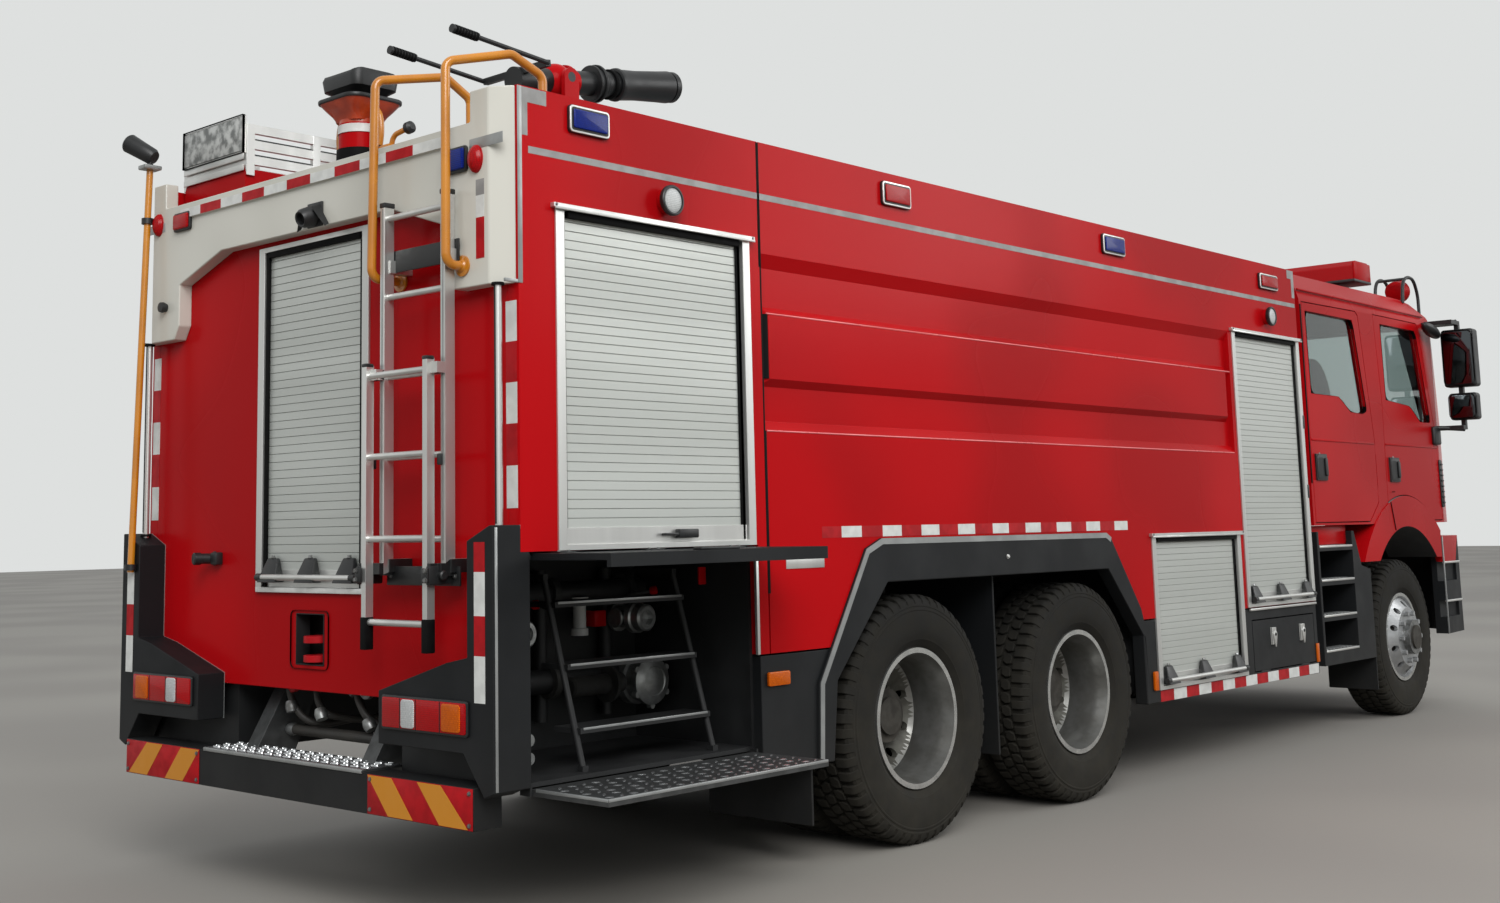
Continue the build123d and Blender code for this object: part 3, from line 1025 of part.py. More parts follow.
def make_cab_inside():
    """Seats, dash and steering wheel that show through the glass."""
    floor = CAB_Z0 + CAB_WALL
    shapes = []
    for out in (-1, 1):
        y0, y1 = sorted((out * (CAB_HALF - 910.0), out * (CAB_HALF - 360.0)))
        cushion = fillet(block((3300.0, 3800.0), (y0, y1), (floor + 300.0, floor + 440.0)).edges(), 36.0)
        back = side_prism([(3300.0, floor + 430.0), (3420.0, floor + 430.0), (3320.0, floor + 1180.0),
                           (3220.0, floor + 1180.0)], y0, y1)
        back = fillet(back.edges().filter_by(Axis.Y).sort_by(Axis.Z)[-2:], 34.0)
        base = block((3380.0, 3720.0), (y0 + 60.0, y1 - 60.0), (floor, floor + 300.0))
        shapes.append(cushion + back + base)
    wide = CAB_HALF - 240.0
    bench = block((2120.0, 2640.0), (-wide, wide), (floor, floor + 430.0))
    bench += side_prism([(2010.0, floor), (2150.0, floor), (2150.0, floor + 430.0), (2080.0, floor + 1180.0),
                         (2010.0, floor + 1180.0)], -wide, wide)
    shapes.append(bench)
    dash = side_prism([(4280.0, 1800.0), (4280.0, 2010.0), (4480.0, 2010.0), (4560.0, 1880.0), (4560.0, floor),
                       (4450.0, floor), (4450.0, 1800.0)], 190.0 - CAB_HALF, CAB_HALF - 190.0)
    driver = CAB_HALF - 640.0
    hub = Vector(4130.0, driver, 2020.0)
    face = Plane(origin=hub, z_dir=(-0.5, 0, 0.87))
    wheel = face * Torus(215.0, 16.0) + face * Cylinder(50.0, 40.0)
    for k in range(3):
        wheel += face * Rot(0, 0, 120.0 * k + 90.0) * Pos(110.0, 0, 0) * Box(210.0, 34.0, 14.0)
    column = rod((4130.0, driver, 2020.0), (4400.0, driver, 1640.0), 26.0)
    save("cab_interior", shapes + [dash + wheel + column])


def make_cab_outside():
    """Roof lamp bar, mirrors and grille panel."""
    wide = CAB_HALF - 160.0
    bar = block((3360.0, 3660.0), (-wide, wide), (3070.0, 3220.0))
    bar = chamfer(bar.edges().filter_by(Axis.Y).group_by(Axis.Z)[-1], 40.0)
    for y in (-700.0, 700.0):
        bar += block((3450.0, 3570.0), (y - 60.0, y + 60.0), (CAB_TOP, 3075.0))
    save("light_bar", bar)
    near = cab_form(-FIT)
    # Two glasses and the arms that hold them out from the cab, from heights and reaches
    tube = (CAB_HALF + 160.0, CAB_HALF + 190.0)
    main_glass = block((4340.0, 4460.0), (CAB_HALF + 70.0, CAB_HALF + 300.0), (2325.0, 2756.0))
    wide_glass = block((4350.0, 4450.0), (CAB_HALF + 90.0, CAB_HALF + 290.0), (2080.0, 2280.0))
    mirror_set = fillet(main_glass.edges(), 24.0) + fillet(wide_glass.edges(), 24.0)
    mirror_set += block((4380.0, 4420.0), tube, (2040.0, 2790.0))
    mirror_set += block((4240.0, 4420.0), (CAB_HALF - 90.0, tube[1]), (2790.0, 2820.0))
    mirror_set += block((4330.0, 4420.0), (CAB_HALF - 40.0, tube[1]), (2010.0, 2040.0))
    mirror_set -= near
    wide = CAB_HALF - 460.0
    deep = (CAB_X1 - 200.0, CAB_X1 + 60.0)
    grille = (cab_form(-22.0) - near) & block(deep, (-wide, wide), (1400.0, 1850.0))
    slots = None
    for k in range(5):
        slot = block(deep, (40.0 - wide, wide - 40.0), (1430.0 + 84.0 * k, 1480.0 + 84.0 * k))
        slots = slot if slots is None else slots + slot
    grille -= slots - cab_form(-10.0)
    save("cab_black_trim", both(mirror_set) + [grille])


def make_bumpers():
    """Front bumper with step corners, and the rear bar."""
    outside = [(4250.0, CAB_HALF), (4700.0, CAB_HALF - 40.0), (4880.0, CAB_HALF - 240.0),
               (FRONT_X, CAB_HALF - 840.0)]
    inside = [(4850.0, CAB_HALF - 860.0), (4790.0, CAB_HALF - 300.0), (4640.0, CAB_HALF - 130.0),
              (4250.0, CAB_HALF - 90.0)]
    left = outside[::-1] + inside[::-1]
    right = [(x, -y) for x, y in inside + outside]
    bumper = plan_prism(left + right, 520.0, 1230.0)
    for out in (-1, 1):
        y = sorted((out * (CAB_HALF - 50.0), out * (CAB_HALF + 10.0)))
        for z0, z1 in ((640.0, 760.0), (900.0, 1040.0)):
            bumper -= block((4249.0, 4600.0), y, (z0, z1))
        y = sorted((out * HEADLAMP_Y[0], out * HEADLAMP_Y[1]))
        bumper -= block((HEADLAMP_BACK, FRONT_X + 1), y, HEADLAMP_Z)
        y = sorted((out * (RAIL_OUT_Y - RAIL_FLANGE + 2.0), out * (RAIL_OUT_Y - 2.0)))
        bumper += block((RAIL_X1 - 40.0, 4870.0), y, (700.0, RAIL_Z0))
    save("bumpers", [bumper, rear_bar()])


def main():
    os.makedirs("parts", exist_ok=True)
    make_wheels()
    save("knuckle_right", knuckle(-1))
    save("knuckle_left", knuckle(1))
    make_chassis()
    make_axles()
    make_driveline()
    make_core()
    make_sides()
    make_shutters()
    make_roof()
    make_rear()
    make_bays()
    make_leaves()
    make_arches()
    make_lower_trim()
    save("toolbox_door_right", toolbox_door(-1))
    save("toolbox_door_left", toolbox_door(1))
    make_lamps()
    make_rails()
    make_ladders()
    make_roof_gear()
    make_cannon()
    make_cab()
    make_cab_inside()
    make_cab_outside()
    make_bumpers()


main()
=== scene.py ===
from math import cos, hypot, radians, sin, tau

import bmesh
import bpy
from mathutils import Matrix, Vector
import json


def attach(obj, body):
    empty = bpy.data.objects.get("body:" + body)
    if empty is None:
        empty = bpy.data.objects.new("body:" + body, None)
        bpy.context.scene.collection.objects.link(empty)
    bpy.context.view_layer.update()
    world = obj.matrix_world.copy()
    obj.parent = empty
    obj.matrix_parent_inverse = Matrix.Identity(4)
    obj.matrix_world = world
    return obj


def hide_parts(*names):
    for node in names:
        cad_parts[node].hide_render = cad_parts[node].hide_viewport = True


bl_info = {
    "name": "Fire truck finish",
    "version": (1, 0, 0),
    "blender": (4, 5, 0),
    "location": "3D View > Sidebar > Fire Truck",
    "description": "Paints, trims and fits out the packed fire truck",
    "category": "Object",
}

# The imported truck, its box, and which body and material slot each node has
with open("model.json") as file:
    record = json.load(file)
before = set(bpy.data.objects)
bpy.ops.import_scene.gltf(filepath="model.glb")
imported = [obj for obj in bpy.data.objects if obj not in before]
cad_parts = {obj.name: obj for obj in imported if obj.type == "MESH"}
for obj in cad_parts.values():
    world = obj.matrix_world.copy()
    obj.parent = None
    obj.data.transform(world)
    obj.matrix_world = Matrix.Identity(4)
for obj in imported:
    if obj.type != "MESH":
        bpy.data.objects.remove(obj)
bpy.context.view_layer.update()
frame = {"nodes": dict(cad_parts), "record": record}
NODES = frame["nodes"]
BODY_OF = {node: body for body, nodes in frame["record"]["behaviour"]["bodies"].items() for node in nodes}
SLOT_OF = {row["node"]: row["material_slot"] for row in frame["record"]["subparts"]}
SIDES = (("right", -1), ("left", 1))
VIEWS = {"side": (0, 2, 1), "rear": (1, 2, 0), "plan": (0, 1, 2)}
UP, AHEAD, BACK, RIGHT = (0, 0, 1), (1, 0, 0), (-1, 0, 0), (0, -1, 0)
MM, PER_METRE = 0.001, 1000

# Corners of a solid closer than this, in metres, are one, and faces that turn less than this angle are one
SAME_SPOT, SAME_FACE = 0.00002, 0.4

# Photograph and camera
PHOTO = (1500, 903)
PHOTO_FOCAL = 1644.27
PHOTO_CENTRE = (661.47, 317.17)
CAMERA_AT = (-8.5717, -5.5413, 1.3802)
CAMERA_YAW, CAMERA_PITCH, CAMERA_ROLL = 0.760747, 0.128697, -0.0188148

# Places on the truck in millimetres, as in its solids
FACE_Y = 1250
REAR_X = -4786
FRAME_X = -4848
FAIRING_X = -4912
BAR_X = -4924
AXLES = {"front": 3560, "mid": -1040, "rear": -2440}
AXLE_Z = 538
CAB_FACE = 1240
CAB_FLOOR = 1380
CANNON_PIN = (-3450, 0, 3480)
MAST_X, HEAD_Z = -4560, 3080.3
LADDER_Y, SLIDE = (-985, -630), 35
OUTER_Y, TWIN_PITCH, FRONT_Y = 1095, 340, 1030
SHUTTERS = ((-4571, -3588, 1335, 2535), (928, 1816, 883, 2500), (-215, 790, 500, 1291))
REAR_SHUTTER = (-340, 340, 1180, 2560)
BAY = (-4740, -3545, 529, 1290)
ARCH = ((-3189, 427), (-3173, 748), (-2831, 1284), (-2718, 1327), (-762, 1323), (-712, 1298))
WINDOWS = {
    "rear": ((2050, 2182), (2036, 2721), (2827, 2721), (2975, 2100), (2900, 2080),
             (2689, 2085), (2503, 2182)),
    "front": ((3345, 2195), (3334, 2734), (4020, 2734), (4200, 2062), (3990, 2062),
              (3801, 2171)),
}


def linear(code):
    """Linear RGBA of an sRGB hex colour."""
    values = [int(code[i:i + 2], 16) / 255 for i in (1, 3, 5)]
    return [v / 12.92 if v <= 0.04045 else ((v + 0.055) / 1.055) ** 2.4 for v in values] + [1]


def colour(label, code, text):
    return bpy.props.FloatVectorProperty(name=label, description=text, subtype="COLOR", size=4, min=0, max=1,
                                         default=linear(code))


class TruckColours(bpy.types.PropertyGroup):
    """Paints and films that an owner would choose."""
    body: colour("Body red", "#AE0B11", "Gloss enamel on the body and cab")
    frame: colour("Rear frame", "#C6C4BA", "Satin enamel on the frame round the rear wall")
    rails: colour("Handrails", "#C47D18", "Gloss enamel on the grab rails")
    chevron: colour("Chevron", "#C07D1A", "Second colour of the rear chevron plates")


class TruckSizes(bpy.types.PropertyGroup):
    """Sizes of the tread and the thin trim."""
    lugs: bpy.props.IntProperty(name="Lugs", description="Tread blocks round each shoulder", default=54, min=30, max=80)
    tread: bpy.props.FloatProperty(name="Tread depth",
                                   description="Depth of the grooves between the tread blocks, in mm", default=15,
                                   min=5, max=22)
    film: bpy.props.FloatProperty(name="Film thickness", description="Thickness of reflective film, in mm", default=1,
                                  min=0.3, max=2)
    softness: bpy.props.FloatProperty(name="Panel edge", description="Radius on the edges of painted panels, in mm",
                                      default=3, min=0.5, max=6)


# Finishes

def add(tree, kind, settings=None, links=None):
    """Adds a node with its settings, which are properties or sockets by name, and its links."""
    made = tree.nodes.new(kind)
    for key, value in (settings or {}).items():
        if isinstance(key, str) and hasattr(made, key):
            setattr(made, key, value)
        else:
            made.inputs[key].default_value = value
    for key, source in (links or {}).items():
        tree.links.new(made.inputs[key], source)
    return made


def blank(name):
    """A new material, its node tree and its output."""
    made = bpy.data.materials.new(name)
    made.use_nodes = True
    made.node_tree.nodes.clear()
    return made, made.node_tree, add(made.node_tree, "ShaderNodeOutputMaterial")


def surface(name, base, second, patch, rough, metallic=0, grain=None, coat=0, film=None, stretch=(1, 1, 1),
            specular=0.5):
    """An opaque finish: two close colours in patches of a size in mm, a roughness range, a grain as (size, depth)
    in mm, and a road film as (colour, amount at the ground, height in m where it ends)."""
    made, tree, out = blank(name)
    where = add(tree, "ShaderNodeTexCoord").outputs["Object"]
    drawn = add(tree, "ShaderNodeMapping", {"Scale": stretch}, {"Vector": where}).outputs["Vector"]
    drift = add(tree, "ShaderNodeTexNoise", {"Scale": PER_METRE / patch, "Detail": 4 if patch < 400 else 0.5},
                {"Vector": drawn})
    share = add(tree, "ShaderNodeMapRange", {"interpolation_type": "SMOOTHSTEP", "From Min": 0.35, "From Max": 0.65},
                {"Value": drift.outputs["Fac"]})
    first = linear(base) if isinstance(base, str) else list(base)
    tone = add(tree, "ShaderNodeMix", {"data_type": "RGBA", 6: first, 7: linear(second)},
               {0: share.outputs["Result"]}).outputs[2]
    uneven = add(tree, "ShaderNodeMapRange", {"interpolation_type": "SMOOTHSTEP", "From Min": 0.3, "From Max": 0.7,
                                              "To Min": rough[0], "To Max": rough[1]},
                 {"Value": drift.outputs["Fac"]}).outputs["Result"]
    if film:
        code, amount, top = film
        height = add(tree, "ShaderNodeSeparateXYZ", None, {"Vector": where}).outputs["Z"]
        fade = add(tree, "ShaderNodeMapRange", {"From Min": 0.1, "From Max": top, "To Min": amount, "To Max": 0},
                   {"Value": height}).outputs["Result"]
        spots = add(tree, "ShaderNodeTexNoise", {"Scale": 9, "Detail": 6, "Roughness": 0.7}, {"Vector": where})
        thick = add(tree, "ShaderNodeMath", {"operation": "MULTIPLY"}, {0: fade, 1: spots.outputs["Fac"]}).outputs[0]
        tone = add(tree, "ShaderNodeMix", {"data_type": "RGBA", 7: linear(code)}, {0: thick, 6: tone}).outputs[2]
        uneven = add(tree, "ShaderNodeMath", {"operation": "MULTIPLY_ADD", 1: 0.5}, {0: thick, 2: uneven}).outputs[0]
    links = {"Base Color": tone, "Roughness": uneven}
    if grain:
        size, depth = grain
        grit = add(tree, "ShaderNodeTexNoise", {"Scale": PER_METRE / size, "Detail": 3}, {"Vector": drawn})
        links["Normal"] = add(tree, "ShaderNodeBump", {"Strength": 0.6, "Distance": depth * MM},
                              {"Height": grit.outputs["Fac"]}).outputs["Normal"]
    shader = add(tree, "ShaderNodeBsdfPrincipled", {"Metallic": metallic, "Coat Weight": coat, "Coat Roughness": 0.06,
                                                    "Specular IOR Level": specular}, links)
    tree.links.new(out.inputs["Surface"], shader.outputs["BSDF"])
    return made


def lens(name, code, deep):
    """Moulded lamp lens: clear gloss outside, and rows of 7 mm prisms inside that break up the colour."""
    made, tree, out = blank(name)
    where = add(tree, "ShaderNodeTexCoord").outputs["Object"]
    prisms = add(tree, "ShaderNodeTexVoronoi", {"Scale": PER_METRE / 7, "distance": "CHEBYCHEV", "Randomness": 0.15},
                 {"Vector": where})
    share = add(tree, "ShaderNodeMapRange", {"From Max": 0.6}, {"Value": prisms.outputs["Distance"]}).outputs["Result"]
    tone = add(tree, "ShaderNodeMix", {"data_type": "RGBA", 6: linear(code), 7: linear(deep)}, {0: share}).outputs[2]
    bump = add(tree, "ShaderNodeBump", {"Strength": 0.5, "Distance": 0.001},
               {"Height": prisms.outputs["Distance"]}).outputs["Normal"]
    shader = add(tree, "ShaderNodeBsdfPrincipled", {"Roughness": 0.18, "Coat Weight": 0.08, "Coat Roughness": 0.03,
                                                    "Specular IOR Level": 0.15}, {"Base Color": tone, "Normal": bump})
    tree.links.new(out.inputs["Surface"], shader.outputs["BSDF"])
    return made


def glazing(name, code, rough):
    """Safety glass: a dark tint that is seen through, with a faint film of dust in the roughness."""
    made, tree, out = blank(name)
    where = add(tree, "ShaderNodeTexCoord").outputs["Object"]
    dust = add(tree, "ShaderNodeTexNoise", {"Scale": 3, "Detail": 5}, {"Vector": where})
    haze = add(tree, "ShaderNodeMapRange", {"From Min": 0.4, "From Max": 0.8, "To Min": 0, "To Max": rough},
               {"Value": dust.outputs["Fac"]}).outputs["Result"]
    shader = add(tree, "ShaderNodeBsdfPrincipled", {"Base Color": linear(code), "Transmission Weight": 1, "IOR": 1.45},
                 {"Roughness": haze})
    tree.links.new(out.inputs["Surface"], shader.outputs["BSDF"])
    return made


def make_finishes(colours):
    """Every finish by its short name."""
    mud = "#6F685C"
    return {
        # Gloss enamel on steel: deep red with a slight orange peel, and road dust on it low down
        "red": surface("red_gloss_enamel", colours.body, "#9C0A0F", 900, (0.2, 0.3), grain=(14, 0.015),
                       film=(mud, 0.08, 0.9), specular=0.05),
        # Satin enamel: an even pale grey, dusty on its lower half
        "white": surface("white_satin_enamel", colours.frame, "#B9B7AD", 500, (0.32, 0.42), coat=0.25,
                         grain=(12, 0.05), film=("#8D887C", 0.15, 2.6)),
        # Moulded ABS with a fine leather grain: it spreads highlights into a soft grey
        "charcoal": surface("charcoal_grained_abs", "#131517", "#0F1113", 260, (0.52, 0.64), grain=(1.6, 0.12),
                            film=(mud, 0.1, 0.8), specular=0.25),
        # Moulded nylon: near black with a soft sheen
        "black": surface("black_satin_nylon", "#131415", "#1A1B1C", 120, (0.38, 0.5), grain=(1.2, 0.08)),
        # Cured rubber seals and feet: dark and almost without gloss. The same finish gives the painted shadow on the
        # ends of the wall's pressings
        "seal": surface("black_cured_rubber_and_painted_shadow", "#080809", "#0E0E0E", 40, (0.62, 0.75), grain=(0.9, 0.08), specular=0.1),
        # Anodised slats: pale and even, with the drawing lines along each slat
        "slat": surface("anodised_aluminium_slats", "#BCBFBA", "#B1B4AF", 300, (0.34, 0.44), metallic=0.35,
                        grain=(2, 0.03), stretch=(0.08, 0.08, 1), film=("#8C877A", 0.25, 1.2)),
        # Mill-finish extrusion: bright, with fine lines along its length
        "bright": surface("extruded_aluminium", "#D6D6D3", "#C4C4C1", 220, (0.28, 0.4), metallic=0.8,
                          grain=(1.5, 0.03), stretch=(1, 1, 0.06)),
        # Brushed trim: a duller metal line than the extrusions
        "edge": surface("brushed_aluminium_trim", "#9FA1A0", "#8D8F8E", 150, (0.35, 0.45), metallic=0.6),
        # Painted highlight: a pale pink enamel, lighter than the body, for the light caught along a crest
        "crest": surface("painted_highlight_on_a_crest", "#E2787A", "#CF5A5C", 300, (0.2, 0.3), coat=0.2, specular=0.5),
        # Silver wheel paint, dulled by brake dust towards the middle
        "silver": surface("silver_wheel_enamel", "#B9BBBD", "#A2A4A5", 90, (0.28, 0.42), metallic=0.75,
                          grain=(2, 0.05), film=("#6B655A", 0.45, 1.1)),
        # Cast iron under brake dust: dark, rough and brown
        "hub": surface("dusty_cast_iron_hub", "#2E2D2A", "#1E1D1B", 60, (0.6, 0.8), metallic=0.3, grain=(3, 0.3),
                       film=(mud, 0.5, 1.2)),
        # Polished lip of a wheel, and a dark grey disc inside it
        "lip": surface("burnished_wheel_lip", "#CFD0CE", "#B4B5B3", 60, (0.18, 0.3), metallic=0.9),
        "disc": surface("dark_grey_wheel_disc", "#57564F", "#413F39", 70, (0.55, 0.7), metallic=0.3, grain=(2.5, 0.1)),
        "barrel": surface("dulled_wheel_barrel", "#8C8C89", "#6F6E6A", 120, (0.3, 0.45), metallic=0.75,
                          grain=(2, 0.05)),
        # Zinc plating: small grey glints on bolts and nuts
        "nut": surface("zinc_plated_steel", "#8B8C8C", "#6E6E6C", 25, (0.35, 0.5), metallic=0.85, grain=(1.5, 0.05)),
        # Carbon-black rubber: matt, greyed by dust in the low places
        "tyre": surface("moulded_tyre_rubber", "#0F0F0E", "#181714", 70, (0.72, 0.86), grain=(1.8, 0.15),
                        film=("#5B564B", 0.32, 1.3), specular=0.2),
        # Chassis enamel: black, half gloss, under road dirt
        "chassis": surface("black_chassis_enamel", "#16171A", "#1F1F1F", 180, (0.42, 0.58), grain=(4, 0.12),
                           film=(mud, 0.5, 1.3)),
        # Sand casting: dark grey with a coarse skin
        "iron": surface("sand_cast_iron", "#3B3C3C", "#2C2D2D", 90, (0.6, 0.75), metallic=0.4, grain=(2.5, 0.4),
                        film=(mud, 0.4, 1.2)),
        # Matt black enamel: the colour of black parts, and painted shade where it lines recesses, wells and holes to
        # take the light out of them
        "dark": surface("matt_black_enamel_and_painted_shade", "#0E0F10", "#151617", 200, (0.55, 0.7), grain=(3, 0.06)),
        # Bead-blasted castings: a bright, frosted metal
        "valve": surface("bead_blasted_aluminium", "#A7A9A8", "#8B8D8B", 60, (0.35, 0.5), metallic=0.8,
                         grain=(1.2, 0.12)),
        # Weathered sheet: pale with darker blotches where the oxide has spread
        "mottled": surface("weathered_galvanised_sheet", "#B9BAB7", "#6E706E", 42, (0.35, 0.6), metallic=0.3,
                           grain=(3, 0.1)),
        # Checker plate: worn bright on its studs, dull between them
        "plate": surface("rolled_checker_plate", "#4A4C4D", "#3A3C3D", 60, (0.4, 0.55), metallic=0.6,
                         grain=(2, 0.15), film=(mud, 0.3, 0.8)),
        "stud": surface("worn_plate_studs", "#C9CBCC", "#A9ABAC", 20, (0.22, 0.35), metallic=0.9),
        # Deck sheet: a dull metal, its 28 mm chequers drawn as bumps
        "deck": surface("chequered_deck_sheet", "#8E9090", "#7C7E7E", 160, (0.42, 0.55), metallic=0.5,
                        grain=(28, 1.2), film=("#77736A", 0.2, 3.2)),
        "orange": surface("orange_gloss_enamel", colours.rails, "#B06C12", 240, (0.22, 0.34), coat=0.5,
                          grain=(10, 0.05)),
        "flag_orange": surface("orange_red_enamel", "#B8401A", "#9E3314", 90, (0.3, 0.42), coat=0.3, grain=(6, 0.08)),
        # Reflective films: small glass beads give a soft even glow
        "film_white": surface("white_reflective_film", "#D0D1CD", "#C2C3BF", 60, (0.42, 0.55), grain=(3.5, 0.05)),
        "film_red": surface("red_reflective_film", "#A80D16", "#960B13", 60, (0.42, 0.55), grain=(3.5, 0.05),
                            specular=0.2),
        "film_grey": surface("grey_reflective_film", "#8E8D8B", "#7F7E7C", 80, (0.4, 0.5), grain=(3.5, 0.05)),
        "film_amber": surface("amber_reflective_film", colours.chevron, "#BF7C15", 80, (0.42, 0.55),
                              grain=(3.5, 0.05)),
        # Moulded lenses: a deep colour with a sparkle of prisms
        "lens_red": lens("red_lamp_lens", "#BE0910", "#7E0409"),
        "lens_amber": lens("amber_lamp_lens", "#E8700A", "#963C02"),
        "lens_clear": lens("clear_lamp_lens", "#DDDEDC", "#8D9090"),
        "lens_blue": lens("blue_lamp_lens", "#12309A", "#060F44"),
        # Safety glass, mirrors and what shows behind the panes
        "glass": glazing("tinted_safety_glass", "#BCC8C6", 0.05),
        "mirror": surface("silvered_mirror_glass", "#D8DADA", "#CFD2D2", 300, (0.03, 0.05), metallic=1),
        "dark_mirror": surface("shaded_mirror_glass", "#5A5E61", "#54585B", 300, (0.03, 0.05), metallic=1),
        "lining": surface("moulded_grey_lining", "#747675", "#686A69", 200, (0.6, 0.75), grain=(2, 0.1),
                          specular=0.2),
        "cloth": surface("woven_seat_cover", "#222326", "#1A1B1D", 12, (0.8, 0.9), grain=(2.4, 0.5)),
    }


FINISH = {}


# Shapes, in millimetres

def as_mesh(shape, name="part"):
    """Turns a shape into a mesh and frees the shape."""
    mesh = bpy.data.meshes.new(name)
    shape.to_mesh(mesh)
    shape.free()
    return mesh


def mirrored(shape):
    """Moves a shape to the other side of the truck."""
    bmesh.ops.scale(shape, vec=(1, -1, 1), verts=shape.verts)
    bmesh.ops.reverse_faces(shape, faces=shape.faces)
    return shape


def egg(size, across, tall):
    """A ball stretched to three radii, in so many segments and rings."""
    shape = bmesh.new()
    bmesh.ops.create_uvsphere(shape, u_segments=across, v_segments=tall, radius=1)
    bmesh.ops.scale(shape, vec=size, verts=shape.verts)
    return shape


def side_box(out, x, y, z, edge=0):
    """A box on one side of the truck, its y counted outwards, its edges rounded by a radius."""
    near, far = sorted((out * y[0], out * y[1]))
    return cube((x[0], near, z[0]), (x[1], far, z[1]), edge)


def cube(low, high, edge=0, segments=2):
    """A box between two corners, its edges rounded by a radius."""
    shape = bmesh.new()
    bmesh.ops.create_cube(shape, size=1)
    size = [b - a for a, b in zip(low, high)]
    bmesh.ops.scale(shape, vec=size, verts=shape.verts)
    bmesh.ops.translate(shape, vec=[(a + b) / 2 for a, b in zip(low, high)], verts=shape.verts)
    return rounded(shape, min(edge, 0.45 * min(size)), segments)


def rounded(shape, edge, segments=2, angle=30):
    """Rounds every edge that is sharper than an angle."""
    if edge > 0:
        sharp = [e for e in shape.edges if len(e.link_faces) == 2 and e.calc_face_angle(0) > radians(angle)]
        bmesh.ops.bevel(shape, geom=sharp, offset=edge, offset_type="OFFSET", segments=segments, profile=0.5,
                        affect="EDGES", material=-1, clamp_overlap=True)
    return shape


def sheet(outline, plane, level):
    """A shape of one flat face, with the face, from an outline in the side, rear or plan view."""
    u, v, w = VIEWS[plane]
    shape = bmesh.new()
    spots = []
    for point in outline:
        spot = [0, 0, 0]
        spot[u], spot[v], spot[w] = point[0], point[1], level
        spots.append(shape.verts.new(spot))
    return shape, shape.faces.new(spots)


def thickened(shape, plane, reach):
    """Gives flat faces a thickness across their view."""
    pushed = bmesh.ops.extrude_face_region(shape, geom=list(shape.faces))["geom"]
    move = [0, 0, 0]
    move[VIEWS[plane][2]] = reach
    bmesh.ops.translate(shape, vec=move, verts=[g for g in pushed if isinstance(g, bmesh.types.BMVert)])
    bmesh.ops.recalc_face_normals(shape, faces=shape.faces)
    return shape


def slab(outline, plane, start, end, edge=0, segments=2):
    """An outline given a thickness across its view, its edges rounded by a radius."""
    shape, _ = sheet(outline, plane, start)
    return rounded(thickened(shape, plane, end - start), edge, segments)


def rim(outline, plane, start, end, width):
    """A flat frame of a width inside an outline, given a thickness across its view."""
    shape, face = sheet(outline, plane, start)
    bmesh.ops.inset_region(shape, faces=[face], thickness=width, use_even_offset=True, use_boundary=True)
    bmesh.ops.delete(shape, geom=[face], context="FACES_ONLY")
    return thickened(shape, plane, end - start)


def corners(u0, u1, v0, v1, radius, steps=4):
    """A rectangle's outline with round corners."""
    points = []
    for u, v, start in ((u1 - radius, v1 - radius, 0), (u0 + radius, v1 - radius, 0.25),
                        (u0 + radius, v0 + radius, 0.5), (u1 - radius, v0 + radius, 0.75)):
        for k in range(steps + 1):
            turn = tau * (start + 0.25 * k / steps)
            points.append((u + radius * cos(turn), v + radius * sin(turn)))
    return points


def ribbon(points, width, plane, start, end):
    """A strip of a width along the left of an open line, or its right where negative, given a thickness."""
    line = [Vector(p) for p in points]
    ways = [(b - a).normalized() for a, b in zip(line, line[1:])]
    beside = []
    for k, spot in enumerate(line):
        back, ahead = ways[max(k - 1, 0)], ways[min(k, len(ways) - 1)]
        side = Vector((-(back + ahead).y, (back + ahead).x)).normalized()
        beside.append(spot + side * width / max(side.dot(Vector((-ahead.y, ahead.x))), 0.3))
    return slab([tuple(p) for p in line + beside[::-1]], plane, start, end)


def softened(points, radius, steps=5):
    """A closed outline with each corner turned into an arc."""
    line = [Vector(p) for p in points]
    made = []
    for k, spot in enumerate(line):
        back, ahead = line[k - 1] - spot, line[(k + 1) % len(line)] - spot
        reach = min(radius, 0.45 * back.length, 0.45 * ahead.length)
        a, b = spot + back.normalized() * reach, spot + ahead.normalized() * reach
        for n in range(steps + 1):
            t = n / steps
            made.append(tuple(a * (1 - t) ** 2 + spot * 2 * t * (1 - t) + b * t ** 2))
    return made


def loft(rings):
    """A closed skin through rings of points, as many in each."""
    shape = bmesh.new()
    rows = [[shape.verts.new(p) for p in ring] for ring in rings]
    for low, high in zip(rows, rows[1:]):
        for k in range(len(low)):
            shape.faces.new((low[k - 1], low[k], high[k], high[k - 1]))
    shape.faces.new(rows[0])
    shape.faces.new(rows[-1][::-1])
    bmesh.ops.recalc_face_normals(shape, faces=shape.faces)
    return shape


def aimed(shape, origin, axis):
    """Moves a shape made round the Z axis to an origin and an axis."""
    turn = Vector(UP).rotation_difference(Vector(axis)).to_matrix().to_4x4()
    shape.transform(Matrix.Translation(origin) @ turn)
    return shape


